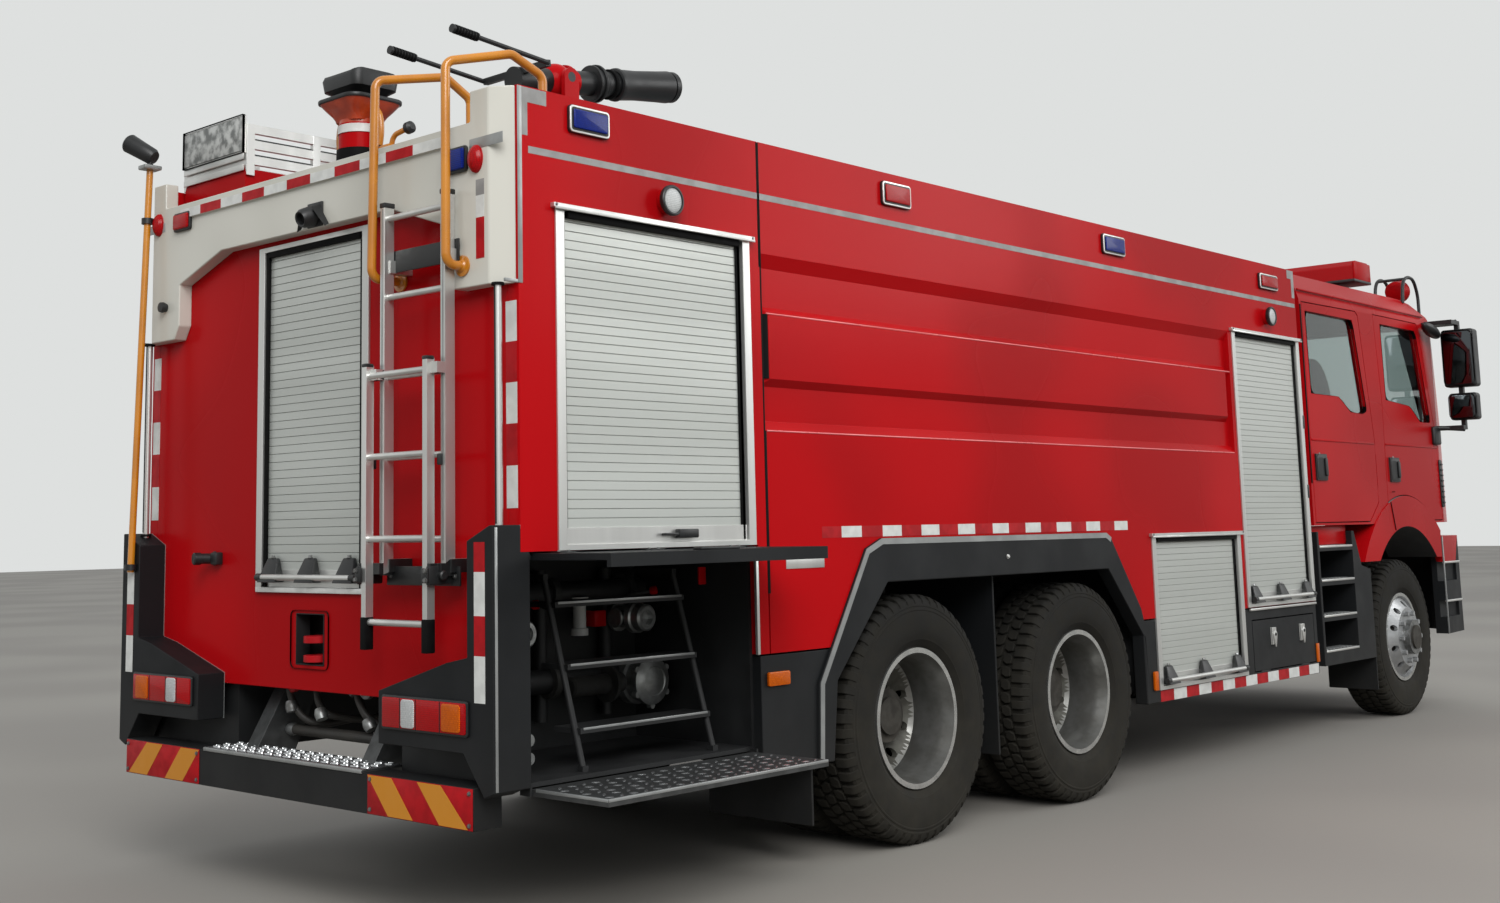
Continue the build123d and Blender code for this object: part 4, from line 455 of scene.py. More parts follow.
def turned(profile, origin=(0, 0, 0), axis=(0, 1, 0), steps=48, ring=False):
    """A profile of (distance along, radius) points spun round an axis."""
    shape = bmesh.new()
    corners = [shape.verts.new((r, 0, d)) for d, r in profile]
    lines = [shape.edges.new(pair) for pair in zip(corners, corners[1:])]
    if ring:
        lines.append(shape.edges.new((corners[-1], corners[0])))
    bmesh.ops.spin(shape, geom=corners + lines, cent=(0, 0, 0), axis=UP, dvec=(0, 0, 0), angle=tau, steps=steps,
                   use_merge=True)
    bmesh.ops.remove_doubles(shape, verts=shape.verts, dist=0.01)
    bmesh.ops.recalc_face_normals(shape, faces=shape.faces)
    return aimed(shape, origin, axis)


def solid(rims, origin, axis, steps):
    """A profile of (distance along, radius) points spun round an axis, closed flat at both ends."""
    return turned([(rims[0][0], 0), *rims, (rims[-1][0], 0)], origin, axis, steps)


def bar(start, end, radius, edge=0):
    """A round bar between two points, its rims rounded."""
    reach = (Vector(end) - Vector(start)).length
    rims = [(0, radius), (reach, radius)]
    if edge:
        rims = [(0, radius - edge), (edge, radius), (reach - edge, radius), (reach, radius - edge)]
    return solid(rims, start, Vector(end) - Vector(start), 24)


def pipe(points, radius, bend=0, sides=6):
    """A tube along straight runs, each corner rounded by a bend."""
    line = bmesh.new()
    corners = [line.verts.new(p) for p in points]
    for pair in zip(corners, corners[1:]):
        line.edges.new(pair)
    if bend:
        bmesh.ops.bevel(line, geom=corners[1:-1], offset=bend, segments=6, profile=0.5, affect="VERTICES", material=-1,
                        clamp_overlap=True)
    ends = [v for v in line.verts if len(v.link_edges) == 1]
    here = min(ends, key=lambda v: (v.co - Vector(points[0])).length)
    path, came = [here.co.copy()], None
    while True:
        ahead = [e for e in here.link_edges if e is not came]
        if not ahead:
            break
        came = ahead[0]
        here = came.other_vert(here)
        path.append(here.co.copy())
    line.free()
    curve = bpy.data.curves.new("tube", "CURVE")
    curve.dimensions = "3D"
    curve.bevel_depth, curve.bevel_resolution, curve.use_fill_caps = radius, sides - 2, True
    spline = curve.splines.new("POLY")
    spline.points.add(len(path) - 1)
    for spot, p in zip(path, spline.points):
        p.co = (*spot, 1)
    holder = bpy.data.objects.new("tube", curve)
    mesh = bpy.data.meshes.new_from_object(holder)
    shape = bmesh.new()
    shape.from_mesh(mesh)
    bmesh.ops.remove_doubles(shape, verts=shape.verts, dist=0.001)
    bpy.data.objects.remove(holder)
    bpy.data.curves.remove(curve)
    bpy.data.meshes.remove(mesh)
    return shape


def hexagon(spot, axis, across, height):
    """A hexagon nut or bolt head with its washer."""
    flats, crown, ring = across * 0.55, across * 0.46, across * 0.68
    head = solid([(0, flats), (height * 0.85, flats), (height, crown)], spot, axis, 6)
    washer = as_mesh(solid([(0, ring), (height * 0.2, ring)], spot, axis, 16))
    head.from_mesh(washer)
    bpy.data.meshes.remove(washer)
    return head


class Piece:
    """One object under way: shapes in millimetres join it, each in one of its finishes."""

    def __init__(self, name, body, *finishes, slot=None, stands_for=()):
        self.name, self.body, self.finishes = name, body, finishes
        self.slot, self.stands_for = slot, stands_for
        self.mesh = bmesh.new()

    def put(self, shape, finish=0, both=False, spots=None):
        """Joins a shape, also mirrored across the truck, or at each of some matrices."""
        for face in shape.faces:
            face.material_index = finish
        mesh = bpy.data.meshes.new("part")
        shape.to_mesh(mesh)
        for spot in spots or (Matrix.Identity(4),):
            copy = mesh.copy()
            copy.transform(spot)
            self.mesh.from_mesh(copy)
            bpy.data.meshes.remove(copy)
        bpy.data.meshes.remove(mesh)
        if both:
            self.put(mirrored(shape), finish, spots=spots)
        else:
            shape.free()

    def pair(self, shape, finish=0):
        """Joins a shape and its mirror image across the truck."""
        self.put(shape, finish, both=True)

    def done(self, angle=35):
        """Makes the object at the origin, smooth where its faces turn less than an angle."""
        bmesh.ops.scale(self.mesh, vec=(MM, MM, MM), verts=self.mesh.verts)
        return finished(self.mesh, self.name, self.body, self.finishes, self.slot, self.stands_for, angle)


def finished(shape, name, body, finishes, slot, stands_for, angle, soften=0):
    """Makes an object of a shape in metres, ties it to its body and hides the nodes it stands for. Its slot is not
    used.
    """
    for edge in shape.edges:
        edge.smooth = len(edge.link_faces) == 2 and edge.calc_face_angle(0) < radians(angle)
    for face in shape.faces:
        face.smooth = True
    mesh = as_mesh(shape, name)
    made = bpy.data.objects.new(name, mesh)
    bpy.context.scene.collection.objects.link(made)
    for key in finishes:
        mesh.materials.append(FINISH[key])
    if soften:
        rounding = made.modifiers.new("Rounded edges", "BEVEL")
        rounding.width, rounding.segments = soften * MM, 2
        rounding.limit_method, rounding.angle_limit = "ANGLE", radians(32)
        rounding.miter_outer = "MITER_ARC"
        level = made.modifiers.new("Flat faces stay flat", "WEIGHTED_NORMAL")
        level.weight, level.keep_sharp = 100, True
    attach(made, body)
    if stands_for:
        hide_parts(*stands_for)
    return made


def dressed(node, *finishes, choose=None, soften=0, angle=32, drop=None):
    """A node's own shape, merged and with softened edges, in finishes that may depend on the place in mm.
    What drop picks is left out, as another piece stands for it."""
    shape = bmesh.new()
    shape.from_mesh(NODES[node].data)
    bmesh.ops.remove_doubles(shape, verts=shape.verts, dist=SAME_SPOT)
    bmesh.ops.dissolve_limit(shape, angle_limit=radians(SAME_FACE), verts=shape.verts, edges=shape.edges)
    bmesh.ops.connect_verts_concave(shape, faces=shape.faces)
    if drop:
        gone = [face for face in shape.faces if drop(face.calc_center_median() * PER_METRE)]
        bmesh.ops.delete(shape, geom=gone, context="FACES")
    for face in shape.faces:
        face.material_index = int(choose(face.calc_center_median() * PER_METRE, face.normal)) if choose else 0
    return finished(shape, node + "_finished", BODY_OF[node], finishes, SLOT_OF[node], (node,), angle, soften)


def round_spots(count, start):
    """Matrices that turn a shape made at the top of a wheel round its axle line."""
    return [Matrix.Rotation(tau * (k + start) / count, 4, "Y") for k in range(count)]


# Painted panels and other nodes whose shape stays

def wheel_ring(name):
    """Finish of a wheel by its distance from the axle: hub, disc, barrel and lip."""
    x = AXLES[name]
    rings = (92, 120, 288, 900) if name == "front" else (120, 252, 288, 900)

    def choose(spot, normal):
        out = hypot(spot.x - x, spot.z - AXLE_Z)
        return next(k for k, edge in enumerate(rings) if out < edge)
    return choose


def tow_jaw(spot, normal):
    """The red jaw in the recess of the rear wall."""
    return spot.x < -4662 and abs(spot.y) < 120 and 886 < spot.z < 1000


def bumper_part(spot, normal):
    """Red on top of the front bumper, grip plate on top of the rear bar."""
    if spot.x > 0:
        return spot.z > 1090
    return 2 if spot.z > 533 and abs(spot.y) < 545 else 0


def cab_lining(spot, normal):
    """Enamel outside, matt black round the wheel as painted shade in the arch, moulded lining inside."""
    inward = Vector((3250, 0, 2100)) - spot
    if normal.dot(inward) > 0 and abs(spot.y) < 1200 and 1340 < spot.z < 2960 and 1960 < spot.x < 4640:
        return 2
    way = Vector((AXLES["front"] - spot.x, 0, AXLE_Z - spot.z))
    return 1 if way.length < 820 and normal.dot(way.normalized()) > 0.6 and spot.z < 1330 else 0


def door_part(spot, normal):
    """The handle that stands out from a cab door."""
    return abs(spot.y) > 1240.5 and 1600 < spot.z < 1800


def cannon_part(spot, normal):
    """The red hub round the barrel's pin."""
    return hypot(spot.x - CANNON_PIN[0], spot.z - CANNON_PIN[2]) < 100 and abs(spot.y) < 95


class TRUCK_OT_panels(bpy.types.Operator):
    """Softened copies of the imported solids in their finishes"""
    bl_idname = "truck.panels"
    bl_label = "Panels and solids"

    def execute(self, context):
        soft = context.scene.truck_sizes.softness
        for name in ("side_right", "side_left", "rear_panel"):
            dressed(name, "red", soften=soft, angle=12)
        dressed("rear_frame", "white", soften=soft + 2)
        dressed("cab_shell", "red", "dark", "lining", choose=cab_lining, soften=soft)
        for side, _ in SIDES:
            for row in ("front", "rear"):
                dressed(f"door_{row}_{side}", "red", "black", choose=door_part, soften=soft)
            dressed(f"flap_{side}", "charcoal", soften=2)
            dressed(f"step_board_{side}", "plate", soften=2)
            dressed(f"toolbox_door_{side}", "charcoal", "bright", soften=2,
                    choose=lambda spot, normal: abs(spot.y) > 1250)
            dressed(f"knuckle_{side}", "iron")
            for row in AXLES:
                rings = ("hub", "nut", "silver", "lip") if row == "front" else ("hub", "disc", "barrel", "lip")
                dressed(f"wheel_{row}_{side}", *rings, choose=wheel_ring(row), angle=28)
        for name, edge in (("corner_mouldings", 6), ("arch_trim", 5), ("lower_trim", 3)):
            dressed(name, "charcoal", soften=edge)
        dressed("bumpers", "charcoal", "red", "plate", choose=bumper_part, soften=6)
        dressed("roof_deck", "deck", soften=2)
        dressed("roof_bases", "red")
        dressed("roof_rack", "bright", "red", soften=2, choose=lambda spot, normal: spot.z < 2992)
        dressed("chassis_frame", "chassis", "film_red", choose=tow_jaw, soften=2)
        dressed("axles", "chassis")
        dressed("driveline", "iron")
        # Matt black on the body's core and in the pump bays: painted shade that darkens these recesses
        dressed("body_core", "dark")
        dressed("pump_bays", "dark")
        dressed("roller_shutters", "slat", angle=20)
        dressed("bright_trim", "bright", soften=1.5)
        dressed("handrails", "orange")
        dressed("ladder_upper", "bright", "black", soften=2, choose=lambda spot, normal: spot.z < 1286)
        dressed("ladder_lower", "bright", "black", soften=2,
                choose=lambda spot, normal: 1940 < spot.z < 1990 and spot.x > -4930)
        dressed("cab_interior", "black", soften=6, drop=lambda spot: spot.x < 3900)
        dressed("cab_black_trim", "black", soften=5)
        dressed("light_bar", "lens_red", soften=6)
        dressed("cannon_turret", "red")
        dressed("cannon_barrel", "black", "red", choose=cannon_part)
        dressed("cab_glass", "glass", soften=0.5)
        for side, _ in SIDES:
            for row in ("front", "rear"):
                dressed(f"pane_{row}_{side}", "glass", soften=0.5)
        return {"FINISHED"}


# Tyres

def tyre_shape(lugs, depth):
    """One tyre round the origin's Y axis: carcass with its sidewall rings, shoulder lugs and two rows of blocks."""
    made = Piece("tyre", "root", "tyre")
    top, base = AXLE_Z, AXLE_Z - depth
    side = [(-115, 296), (-117, 309), (-127, 318), (-138, 338), (-141, 341), (-142.5, 349), (-144, 352), (-149, 384),
            (-150, 418), (-148, 452), (-145.5, 466), (-147, 469), (-146, 475), (-143.5, 477), (-142, 484),
            (-143.5, 487), (-142, 493), (-138.5, 496), (-130, base - 8), (-118, base)]
    made.put(turned(side + [(-d, r) for d, r in reversed(side)], steps=120, ring=True))
    pitch = tau * top / lugs
    for out in (-1, 1):
        block = [(out * 62, base - 3), (out * 62, top - 0.5), (out * 108, top), (out * 122, top - 7),
                 (out * 139, top - 30), (out * 143, top - 52), (out * 136, top - 52)]
        lug = slab(block, "rear", -pitch * 0.31, pitch * 0.31)
        made.put(rounded(lug, 2.5, 1), spots=round_spots(lugs, 0.25 * (1 + out)))
        half = [(out * 6, -pitch * 0.36), (out * 30, -pitch * 0.42), (out * 54, -pitch * 0.2), (out * 54, pitch * 0.36),
                (out * 28, pitch * 0.42), (out * 6, pitch * 0.2)]
        inner = slab([(y, x) for y, x in half], "plan", base - 3, top)
        bmesh.ops.rotate(inner, cent=(0, 0, 0), matrix=Matrix.Rotation(radians(90), 3, "Z"), verts=inner.verts)
        made.put(rounded(inner, 2.5, 1), spots=round_spots(lugs, 0.25 * (1 - out)))
    return as_mesh(made.mesh)


class TRUCK_OT_tyres(bpy.types.Operator):
    """Tyres with block tread and ringed sidewalls"""
    bl_idname = "truck.tyres"
    bl_label = "Tyres"

    def execute(self, context):
        sizes = context.scene.truck_sizes
        one = tyre_shape(sizes.lugs, sizes.tread)
        for side, out in SIDES:
            for row, x in AXLES.items():
                node = f"tyre_front_{side}" if row == "front" else f"tyres_{row}_{side}"
                across = (FRONT_Y,) if row == "front" else (OUTER_Y, OUTER_Y - TWIN_PITCH)
                piece = Piece(node + "_treaded", BODY_OF[node], "tyre", slot=SLOT_OF[node], stands_for=(node,))
                for k, y in enumerate(across):
                    copy = one.copy()
                    turn = Matrix.Rotation(0.03 + 0.04 * k + 0.002 * abs(x), 4, "Y")
                    copy.transform(Matrix.Translation((x, out * y, AXLE_Z)) @ turn)
                    piece.mesh.from_mesh(copy)
                    bpy.data.meshes.remove(copy)
                piece.done(30)
        bpy.data.meshes.remove(one)
        return {"FINISHED"}


# Reflective films and bare plates

def side_marks(piece, finish, x, z, thick, face=FACE_Y):
    """A film on both sides of the body, between two x and two z values."""
    piece.pair(cube((x[0], -face - thick, z[0]), (x[1], -face, z[1])), finish)


def rear_marks(piece, finish, x, y, z, thick, both=True):
    """A film on a face that looks backwards."""
    piece.put(cube((x - thick, y[0], z[0]), (x, y[1], z[1])), finish, both=both)


class TRUCK_OT_markings(bpy.types.Operator):
    """Reflective films, chevrons and bare plates"""
    bl_idname = "truck.markings"
    bl_label = "Markings"

    def execute(self, context):
        film = context.scene.truck_sizes.film
        marks = Piece("reflective_films", "root", "film_white", "film_red", "film_grey", "film_amber",
                      slot="white_frame")
        side_marks(marks, 2, (-4737, 1852), (2722, 2748), film)
        for low, high, near, far in ((-4780, -4740, -4780, -4648), (1820, 1860, 1762, 1860)):
            side_marks(marks, 2, (near, far), (2907, 2961), film)
            side_marks(marks, 2, (low, high), (2785, 2907), film)
        # Dashed line over the twin wheels, white at a regular step with red between
        pitch, dash, first = 292, 141, -2986
        side_marks(marks, 1, (first - 133, first), (1335, 1382), film)
        for k in range(9):
            x = first + pitch * k
            side_marks(marks, 0, (x, x + dash), (1335, 1382), film)
            if k < 8:
                side_marks(marks, 1, (x + dash, x + pitch), (1335, 1382), film)
        # Hazard line along the skirt
        count, start, reach = 14, -240, 2093
        for k in range(count):
            x = start + reach * k / count
            side_marks(marks, 1 - k % 2, (x, x + reach / count), (418, 476), film, FACE_Y - 2)
        # Corner strips, fairing strips and the label on the right pillar
        tops = (2190, 2046, 1902, 1758, 1612, 1465)
        for k, (top, low) in enumerate(zip(tops, tops[1:])):
            rear_marks(marks, k % 2, REAR_X, (-1238, -1180), (low, top), film)
        steps = (1351, 1250, 1102, 968, 812)
        for k, (top, low) in enumerate(zip(steps, steps[1:])):
            rear_marks(marks, 1 - k % 2, FAIRING_X, (-1208, -1151), (low, top), film)
        for finish, low, top in ((2, 2575, 2633), (0, 2495, 2575), (1, 2347, 2495)):
            rear_marks(marks, finish, FRAME_X, (-1139, -1094), (low, top), film, False)
        # Hazard line along the header
        count, half = 11, 912
        for k in range(count):
            y = -half + 2 * half * k / count
            rear_marks(marks, k % 2, FRAME_X - 12, (y, y + 2 * half / count), (2781, 2821), film, False)
        marks.done()
        # Chevron plates: orange bands across red, from the inner edge outwards
        plates = Piece("chevron_plates", "root", "film_red", "film_amber", "nut", slot="lamp_red")
        near, wide, low, top = 571, 585, 393, 530
        plates.pair(cube((BAR_X - 3, -near - wide, low), (BAR_X, -near, top), 0.8))
        for upper, lower in (((0, 0.24), (0.21, 0.45)), ((0.49, 0.71), (0.70, 0.96))):
            band = [(-near - wide * upper[0], top - 2), (-near - wide * upper[1], top - 2),
                    (-near - wide * lower[1], low + 2), (-near - wide * lower[0], low + 2)]
            plates.pair(slab(band, "rear", BAR_X - 3 - film, BAR_X - 3), 1)
        for y in (-near - 16, -near - wide + 16):
            for z in (low + 16, top - 16):
                plates.pair(hexagon((BAR_X - 3, y, z), BACK, 12, 6), 2)
        plates.done()
        # Pale edging along the outside of the dark mouldings and the twin wheel arch
        edging = Piece("pale_edging", "root", "edge", "bright", slot="bright_alloy")
        edging.pair(ribbon(ARCH, -26, "side", -FACE_Y - 14.5, -FACE_Y - 12))
        boot = [(-614, 640), (-614, 826), (-996, 938), (-1111, 960), (-1111, 1355), (-1230, 1407), (-1249, 1407)]
        edging.pair(ribbon(boot, 13, "rear", REAR_X - 5, REAR_X))
        edging.pair(cube((FAIRING_X + 8, -FACE_Y - 1.5, 524), (FAIRING_X + 20, -FACE_Y + 8, 1400), 1))
        edging.pair(cube((BAY[1] - 2, -FACE_Y - 1, 885), (BAY[1] + 14, -FACE_Y + 12, BAY[3]), 1.5), 1)
        edging.pair(cube((-4848, -FACE_Y - 1, 2250), (-4786, -FACE_Y + 9, 2262), 1))
        edging.pair(cube((REAR_X - 3, -FACE_Y - 2.5, 2250), (REAR_X + 18, -FACE_Y - 0.2, 2962), 1))
        edging.pair(cube((FRAME_X - 1.5, -1242, 2746), (FRAME_X, -1060, 2786), 0.5))
        # Blank badge plate beside the pump bay
        edging.pair(cube((-3360, -FACE_Y - 3, 1214), (-3111, -FACE_Y, 1264), 1.5), 1)
        edging.pair(hexagon((-1715, -FACE_Y - 12, 1225), RIGHT, 16, 9), 1)
        edging.done()
        return {"FINISHED"}


# Lamps

def side_lamp(piece, x, z, finish):
    """A lamp on both sides: a dark bezel with round corners, a bright line on it and the lens inside a dark step.
    Each layer is (inset, radius, start, end, edge, finish)."""
    layers = ((0, 16, 0, 15, 4, 0), (2, 15, 12, 18, 2, 8), (9, 11, 16, 19, 1, 0), (17, 8, 17, 26, 6, finish))
    for inset, radius, start, end, edge, key in layers:
        outline = corners(x[0] + inset, x[1] - inset, z[0] + inset, z[1] - inset, radius)
        piece.pair(slab(outline, "side", -FACE_Y - start, -FACE_Y - end, edge, 3), key)


class TRUCK_OT_lamps(bpy.types.Operator):
    """Marker lamps, tail lamps, work lamps and headlamps"""
    bl_idname = "truck.lamps"
    bl_label = "Lamps"

    def execute(self, context):
        lamps = Piece("lamp_units", "root", "black", "lens_red", "lens_clear", "lens_amber", "lens_blue", "red",
                      "mirror", "glass", "bright", slot="lamp_red", stands_for=("lamps",))
        for x, z, finish in (((-4547, -4341), (2829, 2934), 4), ((-2624, -2405), (2812, 2923), 1),
                             ((-635, -396), (2808, 2917), 4), ((1317, 1579), (2801, 2900), 1)):
            side_lamp(lamps, x, z, finish)
        # Round work lamps on red housings
        for x, z in ((-4034, 2637), (1394, 2627)):
            spot, out = (x, -FACE_Y, z), RIGHT
            lamps.pair(solid([(0, 47), (12, 50), (30, 50)], spot, out, 40), 5)
            rim_line = [(26, 45), (28, 57), (34, 60), (47, 60), (51, 56), (51, 50), (40, 48)]
            lamps.pair(turned(rim_line, spot, out, 40, ring=True))
            lamps.pair(turned([(36, 0), (36, 52), (44, 51), (50, 40), (53, 18), (53.5, 0)], spot, out, 40), 2)
        # Tail lamps: four lenses in a dark tray, amber outermost
        low, top, near, width = 695, 816, 645, 480
        for inset, radius, start, end, finish in ((0, 10, 0, 10, 0), (8, 8, 6, 14, 1)):
            tray = corners(-near - width + inset, -near - inset, low + inset, top - inset, radius)
            lamps.pair(slab(tray, "rear", FAIRING_X - start, FAIRING_X - end, 3), finish)
        for finish, start, end, trim in ((2, 0.25, 0.405, 11), (3, 0.72, 0.93, 13)):
            cover = corners(-near - width * end, -near - width * start, low + trim, top - trim, 12)
            lamps.pair(slab(cover, "rear", FAIRING_X - 11, FAIRING_X - 18, 4, 3), finish)
        for share in (0.235, 0.42, 0.7):
            y = -near - width * share
            lamps.pair(cube((FAIRING_X - 15.5, y - 1.5, low + 9), (FAIRING_X - 13, y + 1.5, top - 9)))
        # Amber side lamps and the rear markers on the pale pillars
        for x, z in (((-3496, -3363), (758, 813)), ((-317, -274), (482, 582))):
            lamps.pair(slab(corners(x[0], x[1], z[0], z[1], 8), "side", -FACE_Y + 2, -FACE_Y - 12, 4), 3)
        lamps.pair(cube((1826, -FACE_Y - 8, 484), (1864, -FACE_Y + 2, 600), 5), 3)
        for y, z, finish in (((-1054, -923), (2672, 2768), 4), ((832, 968), (2726, 2810), 1)):
            for inset, radius, start, end, edge, key in ((0, 12, 0, 14, 4, 0), (9, 8, 10, 24, 6, finish)):
                marker = corners(y[0] + inset, y[1] - inset, z[0] + inset, z[1] - inset, radius)
                lamps.put(slab(marker, "rear", FRAME_X - start, FRAME_X - end, edge), key)
        for y, z in ((-1098, 2709), (1112, 2782)):
            oval = turned([(0, 0), (0, 1), (10, 0.96), (22, 0.72), (30, 0.3), (31, 0)], (0, 0, 0), UP, 36)
            bmesh.ops.scale(oval, vec=(52, 36, 1), verts=oval.verts)
            bmesh.ops.rotate(oval, cent=(0, 0, 0), matrix=Matrix.Rotation(radians(-90), 3, "Y"), verts=oval.verts)
            bmesh.ops.translate(oval, vec=(FRAME_X, y, z), verts=oval.verts)
            lamps.put(oval, 1)
        # Headlamps in the bumper: a dark tray, two bright bowls each and a clear cover
        back, near, far, low, top = 4850.5, 592, 948, 832, 998
        lamps.pair(cube((back, near, low), (back + 6, far, top), 2))
        for y in (near + 95, far - 95):
            bowl = [(4, 0), (4, 22), (10, 48), (20, 66), (24, 70), (21, 71), (8, 56), (0, 26), (0, 0)]
            lamps.pair(turned(bowl, (back + 5, y, (low + top) / 2), AHEAD, 40), 6)
        lamps.pair(cube((back + 27, near, low), (back + 31, far, top), 1.5), 7)
        lamps.done(24)
        return {"FINISHED"}


# Shutter fittings

def lift_bar(piece, a, b, z, face, place, posts):
    """Grab bar with black ends on black wedge brackets. place turns (along, out, up) into a point."""
    piece.put(pipe([place(a, face + 34, z), place(b, face + 34, z)], 13, sides=8))
    for x0, x1 in ((a - 8, a + 26), (b - 26, b + 8)):
        piece.put(pipe([place(x0, face + 34, z), place(x1, face + 34, z)], 16, sides=8), 1)
    for x in posts:
        shape = bmesh.new()
        low = [place(x + u, face + v, z - 20) for u, v in ((-64, 0), (64, 0), (64, 50), (-64, 50))]
        top = [place(x + u, face + v, z + 76) for u, v in ((-34, 0), (34, 0), (34, 16), (-34, 16))]
        spots = [shape.verts.new(p) for p in low + top]
        for ring in ((0, 1, 2, 3), (7, 6, 5, 4), (0, 4, 5, 1), (1, 5, 6, 2), (2, 6, 7, 3), (3, 7, 4, 0)):
            shape.faces.new([spots[k] for k in ring])
        bmesh.ops.recalc_face_normals(shape, faces=shape.faces)
        piece.put(rounded(shape, 5), 1)
        piece.put(hexagon(place(x, face + 10, z + 76), UP, 16, 12), 2)


class TRUCK_OT_shutters(bpy.types.Operator):
    """Seals, lift bars, latch and drip rails of the roller shutters"""
    bl_idname = "truck.shutters"
    bl_label = "Shutter fittings"

    def execute(self, context):
        for side, out in SIDES:
            fit = Piece(f"shutter_fittings_{side}", "root", "bright", "black", "nut", "seal", slot="bright_alloy")
            for number, (a, b, low, top) in enumerate(SHUTTERS):
                for x in (a + 1, b - 19):
                    fit.put(side_box(out, (x, x + 18), (FACE_Y - 10, FACE_Y - 18), (low, top), 3), 3)
                fit.put(side_box(out, (a - 60, b + 60), (FACE_Y + 22, FACE_Y + 26), (top - 2, top + 7), 1.5))
                fit.put(side_box(out, (a + 19, b - 19), (FACE_Y - 12, FACE_Y + 9), (top - 26, top + 3), 4), 3)
                for x in (a - 50, b + 50):
                    fit.put(hexagon((x, out * (FACE_Y + 22), top + 14), (0, out, 0), 9, 4), 2)
                if number == 0:
                    # The rear one has a small latch on its bottom board
                    y = sorted((out * (FACE_Y - 12), out * (FACE_Y + 14)))
                    fit.put(cube((-4000, y[0], low + 14), (-3890, y[1], low + 48), 5), 1)
                    fit.put(cube((-4080, y[0], low + 24), (-4002, y[1] - 6, low + 34), 3), 1)
                else:
                    posts = [a + (b - a) * share for share in (0.08, 0.5, 0.92)]
                    lift_bar(fit, a + 14, b - 14, low + 26, FACE_Y - 12, lambda u, v, w: (u, out * v, w), posts)
            fit.done()
        y0, y1, low, top = REAR_SHUTTER
        rear = Piece("shutter_fittings_rear", "root", "bright", "black", "nut", "seal", "film_white",
                     slot="bright_alloy")
        for y in (y0 + 1, y1 - 21):
            rear.put(cube((REAR_X - 1, y, low), (REAR_X + 12, y + 20, top), 3), 3)
        rear.put(cube((REAR_X - 6, y0 + 20, top - 24), (REAR_X + 12, y1 - 20, top + 3), 4), 3)
        rear.put(cube((REAR_X - 16, y0 - 30, low - 20), (REAR_X - 8, y1 + 30, low), 2), 4)
        lift_bar(rear, y0 + 10, y1 - 10, low + 40, 0, lambda u, v, w: (REAR_X + 8 - v, u, w), [y0 + 80, 0, y1 - 80])
        rear.done()
        return {"FINISHED"}


# Rear wall, ladders and handrails

